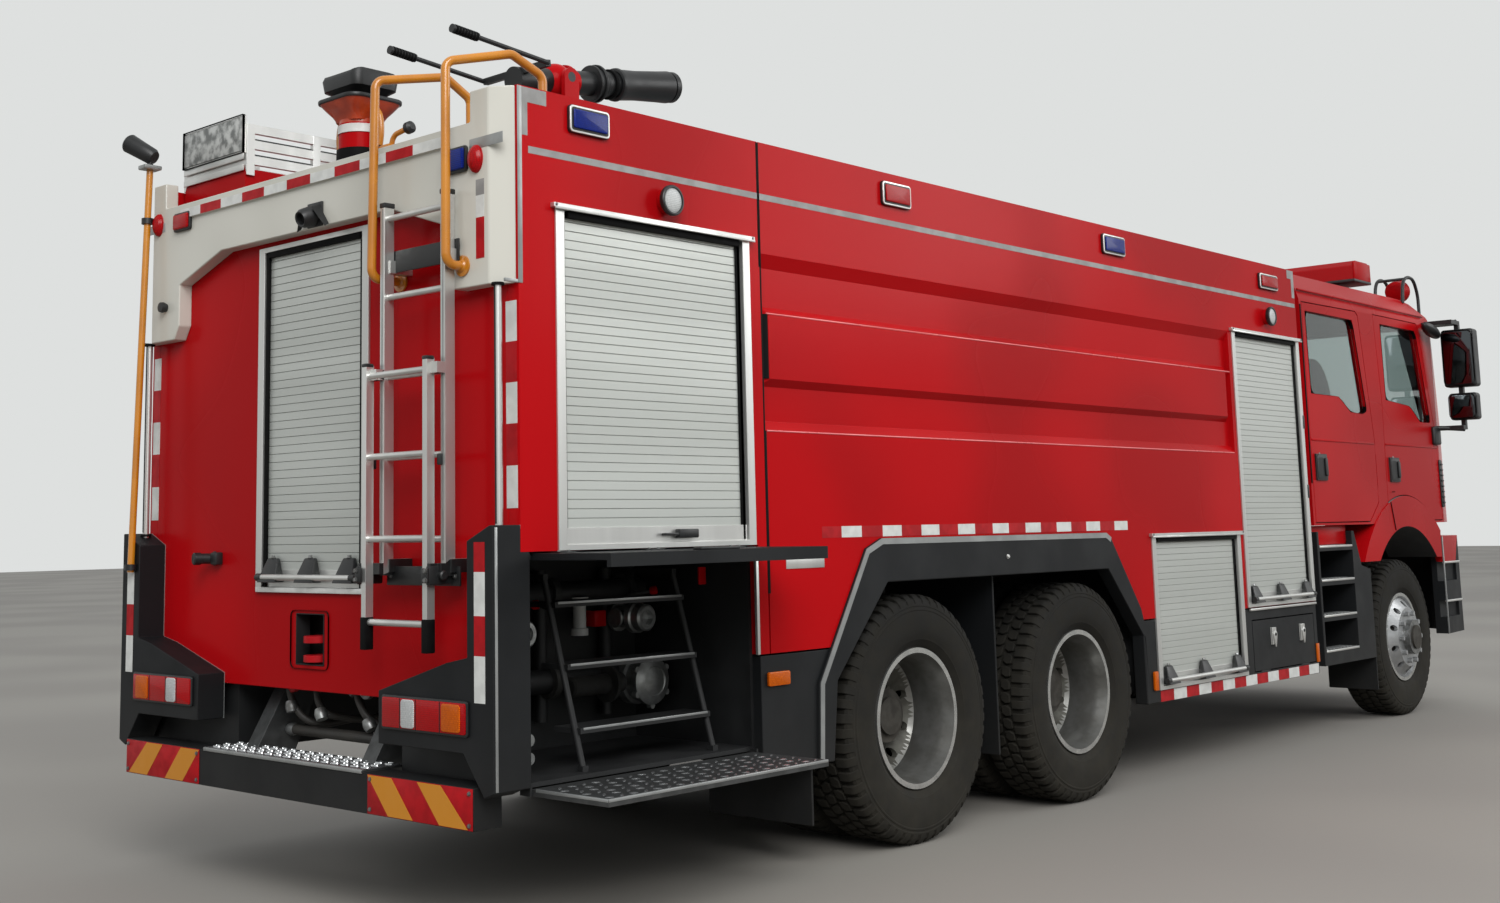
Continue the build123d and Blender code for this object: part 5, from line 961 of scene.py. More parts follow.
class TRUCK_OT_rear(bpy.types.Operator):
    """Tow recess, camera, knob, step plate and pipes at the rear"""
    bl_idname = "truck.rear"
    bl_label = "Rear fittings"

    def execute(self, context):
        rear = Piece("rear_fittings", "root", "black", "nut", "edge", "lens_clear", "dark", "seal", "stud",
                     slot="black_plastic")
        frame_line = corners(-128, 128, 866, 1092, 24)
        rear.put(rim(frame_line, "rear", REAR_X - 7, REAR_X + 6, 33))
        # Matt black sheets lining the inside faces of the tow recess: painted shade in it
        for z in (880.5, 1076.5):
            rear.put(cube((REAR_X - 2, -94.5, z), (REAR_X + 62, 94.5, z + 3)), 4)
        for y in (-94.5, 91.5):
            rear.put(cube((REAR_X - 2, y, 883), (REAR_X + 62, y + 3, 1077)), 4)
        # Camera under the header, with its hood and side ears
        rear.put(cube((FRAME_X - 10, -160, 2600), (FRAME_X, -58, 2700), 8))
        rear.put(solid([(0, 42), (60, 38), (74, 30), (70, 24), (50, 22)], (FRAME_X - 8, -109, 2648), (-1, 0, -0.35),
                       32))
        for y in (-205, -13):
            ear = loft([[(FRAME_X - 12, y - 8, 2600), (FRAME_X - 12, y + 8, 2600), (FRAME_X - 26, y, 2590)],
                        [(FRAME_X - 4, -109 + (y + 109) * 0.5, 2660), (FRAME_X - 4, -109 + (y + 109) * 0.4, 2690),
                         (FRAME_X - 50, -109 + (y + 109) * 0.4, 2670)]])
            rear.put(ear)
        # Cable socket on the rear wall and the knob on the left pillar
        rear.put(solid([(0, 30), (8, 30), (10, 22), (64, 22), (66, 26), (92, 26), (96, 22)], (REAR_X, 700, 1296),
                       (-1, 0.25, 0), 28))
        rear.put(cube((REAR_X - 36, 640, 1270), (REAR_X, 684, 1322), 6))
        rear.put(turned([(0, 0), (0, 18), (16, 24), (30, 22), (34, 0)], (FRAME_X, 1040, 2400), BACK, 24))
        # Bright grip plate on the rear bar: a folded front edge and rows of raised rings, each round a matt black disc
        # of painted shade that stands for its hole
        top, half = 540, 536
        rear.put(cube((BAR_X - 5, -half, top - 12), (BAR_X + 8, half, top + 3), 2.5), 2)
        rear.put(cube((BAR_X + 6, -half, top), (-4742, half, top + 2), 0.8), 6)
        for k in range(17):
            y = -half + 34 + k * (2 * half - 68) / 16
            for n, x in enumerate((BAR_X + 40, BAR_X + 94, BAR_X + 148)):
                for shape, finish in ((turned([(0, 21), (5, 19), (6, 15), (1, 13)], (0, 0, 0), UP, 18, ring=True), 6),
                                      (turned([(0.6, 0), (0.6, 14), (0, 0)], (0, 0, 0), UP, 18), 4)):
                    bmesh.ops.scale(shape, vec=(0.75, 1.15, 1), verts=shape.verts)
                    bmesh.ops.translate(shape, vec=(x, y + 13 * (n % 2), top + 2), verts=shape.verts)
                    rear.put(shape, finish)
        # Black straps behind the ladder
        for z0, z1, y0, y1 in ((2349, 2432, -1017, -606), (1199, 1268, -1020, -600)):
            rear.put(cube((-4866, y0, z0), (-4858, y1, z1), 3))
            for y in (y0 + 26, y1 - 26):
                rear.put(hexagon((-4866, y, (z0 + z1) / 2), BACK, 14, 7), 1)
        # Seam covers of the corner poles
        for y in (-1196, 1196):
            for z in (1400, 2248):
                rear.put(turned([(0, 0), (0, 24), (10, 22), (12, 0)], (-4836, y, z - 6), UP, 24), 5)
            rear.put(cube((-4852, y - 3, 1412), (-4849, y + 3, 2244)), 4)
        rear.done()
        pipes = Piece("air_lines_and_couplings", "root", "chassis", "nut", "valve", "lens_red", "iron",
                      slot="frame_black")
        runs = ([(-4560, 300, 940), (-4690, 300, 860), (-4700, 250, 700), (-4640, 180, 620), (-4400, 160, 640)],
                [(-4560, 120, 900), (-4680, 120, 800), (-4690, 60, 680), (-4500, 20, 640), (-4200, 40, 700)],
                [(-4560, -160, 900), (-4700, -170, 790), (-4690, -260, 660), (-4480, -300, 640), (-4200, -300, 720)],
                [(-4600, -560, 620), (-4640, -330, 600), (-4640, 330, 600), (-4600, 560, 620)])
        for k, run in enumerate(runs):
            pipes.put(pipe(run, 15 if k < 3 else 22, 60))
            for spot in (run[1], run[2]):
                pipes.put(solid([(-22, 22), (-6, 26), (6, 26), (22, 22)], spot, Vector(run[2]) - Vector(run[1]), 20),
                          1 + k % 2)
        for y, finish in ((250, 3), (-250, 1)):
            pipes.put(solid([(0, 34), (20, 34), (26, 44), (44, 44), (50, 30)], (-4660, y, 800), BACK, 32), finish)
        # Brake chambers and their air lines on each driven axle
        for x in (AXLES["mid"], AXLES["rear"]):
            can = [(0, 0), (0, 52), (8, 66), (60, 66), (64, 78), (74, 78), (78, 66), (130, 62), (140, 40), (140, 0)]
            pipes.pair(turned(can, (x - 160, -420, 640), (-1, 0, 0.1), 36))
            pipes.pair(pipe([(x - 200, -420, 700), (x - 200, -400, 800), (x - 120, -380, 880)], 8, 30))
        pipes.done()
        return {"FINISHED"}


class TRUCK_OT_ladders(bpy.types.Operator):
    """Caps, feet and clamps of the rear ladder, and the ends of the handrails"""
    bl_idname = "truck.ladders"
    bl_label = "Ladder fittings"

    def execute(self, context):
        fixed = Piece("ladder_clamps", "root", "black", "nut", "edge", slot="black_plastic")
        for y, out in zip(LADDER_Y, (-1, 1)):
            fixed.put(cube((-4915, y - 16, 2592), (-4865, y + 16, 2612), 4))
            # The sliding stile runs beside each clamp, so it grips from outside with a lip in front
            slide = y + SLIDE
            outside = (slide + 16, slide + 34) if out > 0 else (slide - 34, slide - 16)
            fixed.put(cube((-4974, outside[0], 1205), (-4866, outside[1], 1272), 5))
            lip = (slide - 2, outside[1]) if out > 0 else (outside[0], slide + 2)
            fixed.put(cube((-4982, lip[0], 1212), (-4972, lip[1], 1264), 3))
            for z in (1222, 1254):
                fixed.put(hexagon((-4982, (outside[0] + outside[1]) / 2, z), BACK, 15, 8), 1)
            knob = [(0, 0), (0, 17), (16, 17), (20, 12), (20, 0)]
            fixed.put(turned(knob, (-4920, outside[1] if out > 0 else outside[0], 1238), (0, out, 0), 24))
            fixed.put(cube((-4926, outside[0], 1622), (-4896, outside[1], 1662), 4))
            # Duller metal strips down both faces of the fixed stile: painted shade that stands for its channel
            for x in (-4912.6, -4868):
                fixed.put(cube((x, y - 4, 1290), (x + 0.6, y + 4, 2588)), 2)
        fixed.done()
        sliding = Piece("ladder_feet", "sliding_ladder", "seal", "black", "bright", slot="black_plastic")
        for y in (stile + SLIDE for stile in LADDER_Y):
            sliding.put(cube((-4970, y - 16, 972), (-4931, y + 16, 1088), 4))
            sliding.put(cube((-4968, y - 15.5, 1994), (-4934, y + 15.5, 2008), 4), 1)
            for k in range(4):
                sliding.put(cube((-4966.2, y - 12, 1054 + 297 * k), (-4965, y + 12, 1086 + 297 * k)), 2)
        sliding.done()
        rails = Piece("handrail_ends", "root", "orange", "black", "valve", "lens_clear", "nut", slot="rail_orange")
        for spot, axis in (((-4848.5, -1022, 2330), BACK), ((REAR_X - 0.5, -580, 2330), BACK),
                           ((-4545, -700, 2860), UP), ((-4555, -1130, 2860), UP)):
            rails.put(solid([(0, 38), (7, 38), (9, 24), (16, 19)], spot, axis, 32))
        # Camera on its grey bracket at the top of the left pole
        rails.put(cube((-4925, 1112, 3036), (-4840, 1178, 3056), 5), 2)
        rails.put(solid([(0, 30), (14, 38), (70, 40), (150, 44), (156, 40), (146, 34)], (-4870, 1130, 3092),
                        (-0.45, 0.8, 0.55), 36), 1)
        rails.put(turned([(140, 0), (140, 30), (148, 24), (151, 0)], (-4870, 1130, 3092), (-0.45, 0.8, 0.55), 32), 3)
        rails.put(pipe([(-4884, 1150, 3050), (-4878, 1146, 3080), (-4874, 1138, 3094)], 13, 10), 1)
        for z in (1262, 2801):
            rails.put(turned([(0, 20), (0, 26), (26, 26), (26, 20)], (-4931 + (z - 1262) * 0.0286, 1150, z - 13), UP,
                             28, ring=True), 1)
        rails.done()
        return {"FINISHED"}


# Roof gear

class TRUCK_OT_roof(bpy.types.Operator):
    """Lamp head on its mast, water cannon fittings and rack plate"""
    bl_idname = "truck.roof"
    bl_label = "Roof gear"

    def execute(self, context):
        x, base = MAST_X, HEAD_Z
        head = Piece("mast_lamp_head", "mast_lamp", "flag_orange", "black", "orange", "lens_clear", "nut",
                     slot=SLOT_OF["mast_head"], stands_for=("mast_head",))
        bowl = [corners(x - r, x + r, -r, r, r * 0.45, 5) for r in (80, 84, 94, 112, 130, 136)]
        heights = (base + 10, base + 22, base + 38, base + 58, base + 80, base + 90)
        head.put(loft([[(u, v, z) for u, v in ring] for ring, z in zip(bowl, heights)]))
        head.put(solid([(0, 87), (16, 87)], (x, 0, base), UP, 48))
        edge = corners(x - 142, x + 142, -142, 142, 62, 6)
        head.put(slab(edge, "plan", base + 88, base + 106, 5), 1)
        for k in range(4):
            rib = slab([(84, base + 16), (134, base + 84), (134, base + 90), (70, base + 90)], "side", -5, 5)
            rib.transform(Matrix.Translation((x, 0, 0)) @ Matrix.Rotation(radians(45 + 90 * k), 4, "Z"))
            head.put(rib)
        rows = []
        for z, half_x, half_y, radius in ((base + 104, 74, 72, 34), (base + 130, 92, 96, 36),
                                          (base + 144, 112, 124, 40), (base + 190, 118, 130, 40),
                                          (base + 208, 110, 124, 38), (base + 214, 96, 110, 34)):
            ring = corners(x - half_x, x + half_x, -half_y, half_y, radius, 6)
            lift = 18 if z > base + 200 else 0
            rows.append([(u, v, z + lift * ((v / half_y) ** 2 - 0.6)) for u, v in ring])
        head.put(loft(rows), 1)
        for y in (-1, 1):
            head.put(cube((x - 26, y * 118 - 5, base - 118), (x + 26, y * 118 + 5, base + 40), 3), 2)
            head.put(turned([(0, 0), (0, 20), (9, 18), (10, 0)], (x, y * 123, base - 60), (0, y, 0), 24), 4)
        # Curved arms from the hopper down past the red cylinder
        for y in (-1, 1):
            head.put(pipe([(x, y * 92, base + 66), (x, y * 138, base + 34), (x, y * 150, base - 40),
                           (x, y * 138, base - 104)], 13, 30), 2)
            head.put(bar((x, y * 112, base - 98), (x, y * 146, base - 98), 12, edge=3), 4)
        head.done()
        mast = Piece("mast_collars", "root", "red", "film_white", "seal", "orange", "black", "nut", slot="red_paint")
        mast.put(turned([(0, 89), (0, 92), (34, 92), (36, 89)], (x, 0, base - 42), UP, 48, ring=True), 1)
        mast.put(turned([(0, 89), (0, 98), (52, 96), (54, 89)], (x, 0, 2920), UP, 48, ring=True), 2)
        mast.put(cube((x - 40, -250, 2860), (x + 40, -180, 2960), 8), 3)
        mast.put(pipe([(x, -214, 2950), (x, -230, 3000), (x, -320, 3012)], 11, 24), 3)
        mast.put(solid([(0, 14), (12, 25), (34, 25), (44, 12)], (x, -312, 3011), (0, -1, 0.1), 28), 4)
        mast.put(pipe([(x + 60, 230, 2865), (x + 60, 230, 2950), (x + 20, 170, 2985), (x, 140, 2990)], 13, 34), 3)
        for k in range(8):
            spot = (x + 120 * cos(tau * k / 8), 120 * sin(tau * k / 8), 2862)
            mast.put(hexagon(spot, UP, 18, 12), 5)
        mast.done()
        # Cannon: places along its barrel from the pin of the barrel
        tilt = radians(8.6)
        along = Vector((cos(tilt), 0, sin(tilt)))
        pin = Vector(CANNON_PIN)
        barrel = Piece("cannon_barrel_fittings", "monitor_barrel", "black", "red", "nut", "seal",
                       slot=SLOT_OF["cannon_barrel"])
        nozzle = [(392, 70), (396, 80), (410, 82), (424, 76), (540, 73), (690, 77), (752, 80), (768, 80.5), (772, 76),
                  (772, 66), (700, 62)]
        barrel.put(turned(nozzle, pin, along, 48, ring=True))
        for d, r, w, finish in ((232, 88, 14, 0), (262, 92, 16, 0), (300, 70, 12, 0), (350, 74, 18, 3)):
            barrel.put(turned([(d, r - 14), (d, r - 2), (d + 3, r), (d + w - 3, r), (d + w, r - 2), (d + w, r - 14)],
                              pin, along, 48, ring=True), finish)
        barrel.put(turned([(60, 50), (60, 82), (76, 82), (80, 62), (120, 60), (120, 50)], pin, along, 48, ring=True), 1)
        for k in range(8):
            turn = tau * k / 8
            spot = pin + along * 76 + Vector((-sin(tilt) * cos(turn), sin(turn), cos(tilt) * cos(turn))) * 70
            barrel.put(hexagon(spot, along, 15, 9), 2)
        for out in (-1, 1):
            ridges = [(8 + 16 * k + u, r) for k in range(8) for u, r in ((0, 20.5), (9, 20.5), (12, 18.5))]
            beside, above = pin + Vector((0, out * 218, 0)), Vector((-sin(tilt), 0, cos(tilt)))
            start, stop = beside + along * -640 + above * 129.6, beside + along * -780 + above * 162
            barrel.put(turned([(0, 0), (0, 17), *ridges, (140, 12), (141, 0)], start, stop - start, 28), 3)
        barrel.done()
        turret = Piece("cannon_turret_fittings", "monitor_base", "red", "black", "nut", "iron",
                       slot=SLOT_OF["cannon_turret"])
        for k in range(12):
            spot = (pin.x + 112 * cos(tau * k / 12), 112 * sin(tau * k / 12), 3275)
            turret.put(hexagon(spot, UP, 14, 5), 2)
        gear = solid([(0, 44), (10, 52), (46, 52), (56, 40)], (-3546, 116, 3322), (-0.4, 1, 0), 36)
        turret.put(gear)
        turret.put(turned([(0, 74), (9, 82), (18, 74), (9, 66)], (-3572, 184, 3322), (-0.4, 1, 0), 40, ring=True), 1)
        for k in range(3):
            spoke = Matrix.Rotation(tau * k / 3, 4, (-0.3714, 0.9285, 0))
            hub = Vector((-3576, 192, 3322))
            turret.put(pipe([hub, hub + spoke @ Vector((0, 0, 74))], 6), 1)
        turret.done()
        rack = Piece("rack_end_plate", "root", "mottled", "black", "bright", slot="bright_alloy")
        rack.put(cube((-4712, 655, 3070), (-4706, 1145, 3222), 2))
        rack.put(rim([(650, 3060), (1150, 3060), (1150, 3232), (650, 3232)], "rear", -4718, -4704, 14), 1)
        for z in (3000, 3050):
            rack.put(cube((-4712, 652, z - 20), (-4704, 1148, z + 8), 3), 2)
        for z in (3032, 3102):
            rack.put(cube((-4690, 652, z), (-4020, 660, z + 28), 2), 1)
        rack.done()
        return {"FINISHED"}


# Pump bays and their leaves

class TRUCK_OT_bays(bpy.types.Operator):
    """Valves, manifolds and gauges in the pump bays, and the studs of the step board"""
    bl_idname = "truck.bays"
    bl_label = "Pump bays"

    def execute(self, context):
        wall, out = -568, RIGHT
        pumps = Piece("pump_valve_sets", "root", "valve", "iron", "dark", "red", "mirror", "edge", "flag_orange",
                      "film_white", slot=SLOT_OF["pump_valves"], stands_for=("pump_valves",))
        for z, r in ((800, 48), (1140, 42)):
            pumps.pair(bar((-4600, wall - 90, z), (-3600, wall - 90, z), r, edge=10), 2)
            for x in (-4480, -4120, -3700):
                ring = [(-16, r - 4), (-16, r + 20), (16, r + 20), (16, r - 4)]
                pumps.pair(turned(ring, (x, wall - 90, z), AHEAD, 36, ring=True), 1)
        for x in (-4480, -4120, -3760):
            pumps.pair(bar((x, wall - 40, 640), (x, wall - 40, 1230), 26), 2)
        # Upper delivery valve, its elbow and hand lever
        body = [(0, 0), (0, 58), (14, 58), (18, 40), (60, 46), (92, 40), (98, 62), (124, 62), (130, 54), (168, 54),
                (176, 46), (176, 30), (150, 28), (150, 0)]
        for x, z in ((-3740, 1030), (-4390, 1000)):
            pumps.pair(turned(body, (x, wall - 90, z), out, 40))
            pumps.pair(bar((x - 70, wall - 150, z), (x + 70, wall - 150, z), 30, edge=8), 1)
            for dx in (-74, 66):
                pumps.pair(bar((x + dx, wall - 150, z), (x + dx + 12, wall - 150, z), 40, edge=3))
            pumps.pair(pipe([(x, wall - 160, z + 40), (x, wall - 160, z + 90), (x + 60, wall - 220, z + 104)], 9, 20),
                       1)
            pumps.pair(turned([(0, 0), (0, 12), (10, 18), (30, 18), (36, 0)], (x + 60, wall - 220, z + 104),
                              (1, -1, 0.2), 20), 3)
        # Pale fitting and red box between them
        pumps.pair(solid([(0, 34), (26, 34), (30, 26), (120, 26), (124, 36), (150, 36)], (-3990, wall - 130, 970), UP,
                         28), 7)
        pumps.pair(cube((-3925, wall - 150, 1000), (-3860, wall - 60, 1064), 5), 3)
        # Lower suction cap: a round cover with lugs round its edge on a wide collar
        centre = (-3690, wall - 120, 775)
        cap = [(0, 0), (0, 96), (40, 96), (44, 82), (92, 82), (96, 96), (118, 96), (126, 84), (134, 60), (130, 56),
               (136, 34), (142, 0)]
        pumps.pair(turned(cap, centre, out, 48))
        for k in range(6):
            turn = tau * (k + 0.5) / 6
            spot = (centre[0] + 98 * cos(turn), centre[1] - 106, centre[2] + 98 * sin(turn))
            pumps.pair(solid([(-12, 13), (12, 13)], spot, out, 16))
        pumps.pair(bar((-4080, wall - 160, 775), (-3790, wall - 160, 775), 40, edge=8), 1)
        pumps.pair(turned([(0, 40), (0, 74), (18, 74), (18, 40)], (-3880, wall - 160, 775), AHEAD, 36, ring=True), 1)
        # Drain cocks low down at the rear, a row of bare gauges and a red tag
        for z in (575, 640):
            pumps.pair(solid([(0, 20), (30, 20), (34, 13), (60, 13), (64, 22), (84, 22)], (-4540, -930, z), out, 24))
        for x in (-4540, -4420, -4300):
            pumps.pair(turned([(0, 0), (0, 44), (18, 46), (22, 42), (20, 38)], (x, wall - 4, 1225), out, 32), 2)
            pumps.pair(turned([(17, 0), (17, 39), (18, 0)], (x, wall - 4, 1225), out, 32), 7)
        pumps.pair(cube((-3640, -1030, 1160), (-3600, -1020, 1230), 3), 3)
        pumps.pair(bar((-4650, -1120, 560), (-4650, -1120, 1180), 12), 1)
        # Light edges on the treads of the bay's steps
        foot, head, z0, z1 = 1150, 950, BAY[2], 1225
        for share in (0.2, 0.52, 0.84):
            y, z = foot + (head - foot) * share, z0 + (z1 - z0) * share
            pumps.pair(cube((-4396, -y - 32, z + 2), (-3729, -y - 29.5, z + 11), 1), 5)
        pumps.done()
        board = Piece("step_board_studs", "bay_board_right", "stud", "edge", slot=SLOT_OF["step_board_right"])
        y_out, top = -1598, 512
        board.put(cube((-4720, y_out - 1.5, top - 9), (-3565, y_out + 9, top + 2), 2), 1)
        board.put(cube((-4723, y_out, top - 9), (-4714, -1245, top + 2), 2), 1)
        for row in range(6):
            for k in range(19 + (row + 1) % 2):
                turn = Matrix.Rotation(radians(38 if (k + row) % 2 else -38), 4, "Z")
                stud = egg((17, 7, 4), 10, 5)
                stud.transform(Matrix.Translation((-4682 + 57 * k + 28 * (row % 2), y_out + 36 + 54 * row, top)) @ turn)
                board.put(stud)
        board.done()
        for side, _ in SIDES:
            flap = Piece(f"flap_latch_{side}", f"bay_flap_{side}", "black", "nut", slot=SLOT_OF[f"flap_{side}"])
            if side == "right":
                flap.put(cube((-4250, -1600, 1308), (-4040, -1560, 1318), 3))
                for x in (-4600, -4145, -3690):
                    flap.put(cube((x - 40, -1290, 1308), (x + 40, -1240, 1312), 1.5))
                    for dx in (-24, 24):
                        flap.put(hexagon((x + dx, -1266, 1312), UP, 10, 5), 1)
            else:
                flap.put(cube((-4250, 1238, 920), (-4040, 1246, 960), 3))
                for x in (-4600, -3690):
                    flap.put(hexagon((x, 1238, 1230), (0, 1, 0), 12, 6), 1)
            flap.done()
        return {"FINISHED"}


# Cab

class TRUCK_OT_cab(bpy.types.Operator):
    """Window seals, handles, mirrors, wipers, lamps and steps of the cab"""
    bl_idname = "truck.cab"
    bl_label = "Cab fittings"

    def execute(self, context):
        face = CAB_FACE
        for side, out in SIDES:
            for row, (x0, x1, crease) in (("rear", (2036, 2194, (2006, 3062))), ("front", (3316, 3474, (3268, 4290)))):
                body = f"cab_door_{row}_{side}"
                door = Piece(f"door_fittings_{row}_{side}", body, "seal", "black", "red", "nut", "dark",
                             slot="black_plastic")
                seal = rim(softened(WINDOWS[row], 60), "side", -face - 2.5, -face + 22, 30)
                plate = slab(corners(x0, x1, 1626, 1784, 22), "side", -face - 13, -face - 17, 1.5)
                pull = slab(corners(x1 - 52, x1 - 18, 1646, 1764, 12), "side", -face - 17, -face - 30, 5)
                # A matt black sheet on the plate beside the pull: painted shade of the handle's well
                well_shade = slab(corners(x0 + 14, x1 - 60, 1644, 1766, 16), "side", -face - 16.5, -face - 17.6)
                lock = solid([(0, 9), (3, 8)], (x0 + 34, -face - 17, 1790), RIGHT, 20)
                ledge = cube((crease[0], -face - 5, 1874), (crease[1], -face + 2, 1888), 4, 3)
                for shape, finish in ((seal, 0), (plate, 1), (pull, 1), (well_shade, 4), (lock, 3), (ledge, 2)):
                    door.put(mirrored(shape) if out > 0 else shape, finish)
                door.done()
        cab = Piece("cab_fittings", "cab", "red", "black", "nut", "mirror", "lens_amber", "lens_clear", "seal",
                    "dark_mirror", slot="red_paint")
        cab.pair(cube((1956, -1236, 2852), (4230, -1224, 2866), 5, 3))
        for low, high in (((1953, -1246, 1600), (1965, -1240, 2760)), ((3330, -1262, 1546), (3334, -1241, 1552))):
            cab.pair(cube(low, high, 1), 6)
        # Mirror glasses, arms and the small mirror over the door
        for z0, z1, y0, y1 in ((2345, 2736, 1326, 1524), (2096, 2264, 1346, 1514)):
            cab.pair(slab(corners(-y1, -y0, z0, z1, 26), "rear", 4341, 4336, 1.5), 7)
            cab.pair(rim(corners(-y1 - 10, -y0 + 10, z0 - 10, z1 + 10, 34), "rear", 4350, 4330, 12), 1)
        for z, tip in ((2805, 2817), (2025, 2013)):
            cab.pair(pipe([(4260, -1180, z), (4330, -1300, z), (4400, -1415, tip)], 17, 60), 1)
        eye = egg((150, 46, 42), 28, 16)
        bmesh.ops.rotate(eye, cent=(0, 0, 0), matrix=Matrix.Rotation(radians(14), 3, "Y"), verts=eye.verts)
        bmesh.ops.translate(eye, vec=(4170, -1306, 2742), verts=eye.verts)
        cab.pair(eye, 1)
        cab.pair(pipe([(4190, -1236, 2800), (4180, -1280, 2780), (4170, -1300, 2750)], 12, 20), 1)
        # Wipers: an arm and a blade before each half of the windscreen
        for y in (-520, 380):
            cab.put(pipe([(4690, y, 1960), (4640, y + 60, 2080), (4500, y + 260, 2480)], 9, 30), 1)
            cab.put(pipe([(4642, y - 60, 2030), (4480, y + 420, 2500)], 7), 6)
        # Foot of the mirror arm, slatted trim at the corner, joint across the wheel arch
        cab.pair(cube((4205, -1268, 1900), (4335, -1234, 2035), 16, 3), 1)
        cab.pair(slab(corners(4298, 4352, 1440, 1790, 18), "side", -1238, -1250, 4), 1)
        for k in range(8):
            cab.pair(cube((4306, -1258, 1470 + 40 * k), (4344, -1249, 1482 + 40 * k), 3), 1)
        low, high = ((AXLES["front"] + r * cos(radians(107)), AXLE_Z + r * sin(radians(107))) for r in (780, 984))
        cab.pair(slab([low, high, (high[0] + 4, high[1]), (low[0] + 4, low[1])], "side", -1240, -1251.2), 6)
        # Search lamp on the roof between its guard loops
        lamp_x, lamp_y = 4230, -1040
        bowl = [(0, 0), (0, 40), (20, 74), (70, 84), (92, 88), (96, 84), (88, 78), (60, 0)]
        cab.put(turned(bowl, (lamp_x, lamp_y, 3070), (1, 0, 0.1), 36))
        cab.put(turned([(84, 0), (84, 78), (92, 60), (94, 0)], (lamp_x, lamp_y, 3070), (1, 0, 0.1), 36), 5)
        cab.put(bar((lamp_x + 40, lamp_y, 2900), (lamp_x + 40, lamp_y, 3040), 22, edge=4), 1)
        for y in (lamp_y - 110, lamp_y + 90):
            loop = [(-150, 2960), (-120, 3120), (-30, 3172), (110, 3162), (180, 3050), (180, 2840)]
            cab.put(pipe([(lamp_x + x, y, z) for x, z in loop], 12, 50), 1)
        for x, z in ((-75, 3147), (40, 3167)):
            cab.put(pipe([(lamp_x + x, lamp_y - 110, z), (lamp_x + x, lamp_y + 90, z)], 9), 1)
        # Roof lamp bar's tray, end caps and bolts
        cab.put(cube((3352, -1084, 3062), (3668, 1084, 3084), 6), 1)
        for y, finish in ((-1084, 0), (-362, 1), (350, 1), (1066, 0)):
            cab.put(cube((3356, y, 3080), (3664, y + 16, 3212), 8), finish)
        for x in (3480, 3540):
            cab.pair(hexagon((x, -700, 3012), UP, 18, 10), 2)
        cab.done()
        steps = Piece("cab_step_treads", "root", "bright", "black", "nut", "film_white", "seal", "edge", "red",
                      slot="bright_alloy")
        for z in (526, 746, 971, 1186):
            steps.pair(cube((2024, -1240, z), (2556, -1206, z + 15), 4))
            for k in range(9):
                steps.pair(cube((2048 + 56 * k, -1204, z + 12), (2078 + 56 * k, -1120, z + 17), 2), 5)
        for z in (760, 1040):
            steps.pair(cube((4250, -1244, z - 12), (4590, -1228, z + 4), 4))
        steps.pair(cube((4246, -1246, 524), (4256, -1236, 1226), 2), 5)
        # Bare number plate, hinges of the tall locker, sill of the tool locker, red panel over the first tread
        steps.put(cube((4951, -240, 640), (4955, 240, 760), 1.5), 3)
        for z in (1505, 1945):
            steps.pair(cube((1846, -1262, z), (1864, -1250, z + 84), 3), 1)
        steps.pair(cube((900, -1264, 842), (1850, -1249, 856), 3))
        steps.pair(cube((2004, -1196, 1204), (2566, -1180, 1328), 4), 6)
        steps.done()
        for side, out in SIDES:
            door = Piece(f"locker_latches_{side}", f"locker_door_{side}", "bright", "dark",
                         slot=SLOT_OF[f"toolbox_door_{side}"])
            y = out * (FACE_Y + 10)
            for x in (1210, 1626):
                drop = [(x + 24 * cos(t), 690 + 24 * sin(t)) for t in (tau * k / 24 for k in range(13))]
                drop += [(x - 20, 668), (x - 6, 618), (x + 6, 618), (x + 20, 668)]
                door.put(slab(drop, "side", y, y + out * 7, 2))
                door.put(solid([(0, 10), (3, 9)], (x, y + out * 7, 692), (0, out, 0), 20), 1)
            door.done()
        return {"FINISHED"}


# Joints of the walls

class TRUCK_OT_joints(bpy.types.Operator):
    """Dark joints between the wall's modules, painted shadow on the ends of its pressings, painted highlights along
    their crests, and the guides of the curtains
    """
    bl_idname = "truck.joints"
    bl_label = "Wall joints"

    def execute(self, context):
        walls = Piece("wall_joints_and_painted_light", "root", "seal", "crest", slot="red_paint")
        walls.pair(cube((-3483, -FACE_Y - 1, 2440), (-3466, -FACE_Y + 24, 2962), 1.5))
        walls.pair(cube((-3477, -FACE_Y - 1, 1120), (-3467, -FACE_Y + 24, 2440), 1.5))
        # Ends of the two pressings: black slabs of painted shadow, where they lie in their own shadow
        walls.pair(slab([(-3470, -1222.5), (-3456, -1222.5), (-3432, -1249), (-3440, -1249)], "plan", 1985, 2250))
        walls.pair(cube((-3469, -FACE_Y - 0.5, 1120), (-3458, -FACE_Y + 24, 1772), 2))
        # Crest of each pressing: a thin pale bead of painted highlight, where the enamel catches the light
        for x, z in ((-3440, 2252), (-3456, 1771)):
            walls.pair(pipe([(x, -FACE_Y + 1, z), (836, -FACE_Y + 1, z)], 3.6), 1)
        # Guides of each curtain, from above its lift bar to its head
        for a, b, sill, top in SHUTTERS:
            low = sill + 60
            for start, end in (((b - 26, 10, low), (b, top)), ((a, 12, low), (a + 10, top)),
                               ((a, 12, top - 14), (b, top))):
                x, y, z = start
                walls.pair(cube((x, y - FACE_Y, z), (end[0], 16.5 - FACE_Y, end[1]), 1.5))
        walls.done()
        return {"FINISHED"}


# Seats

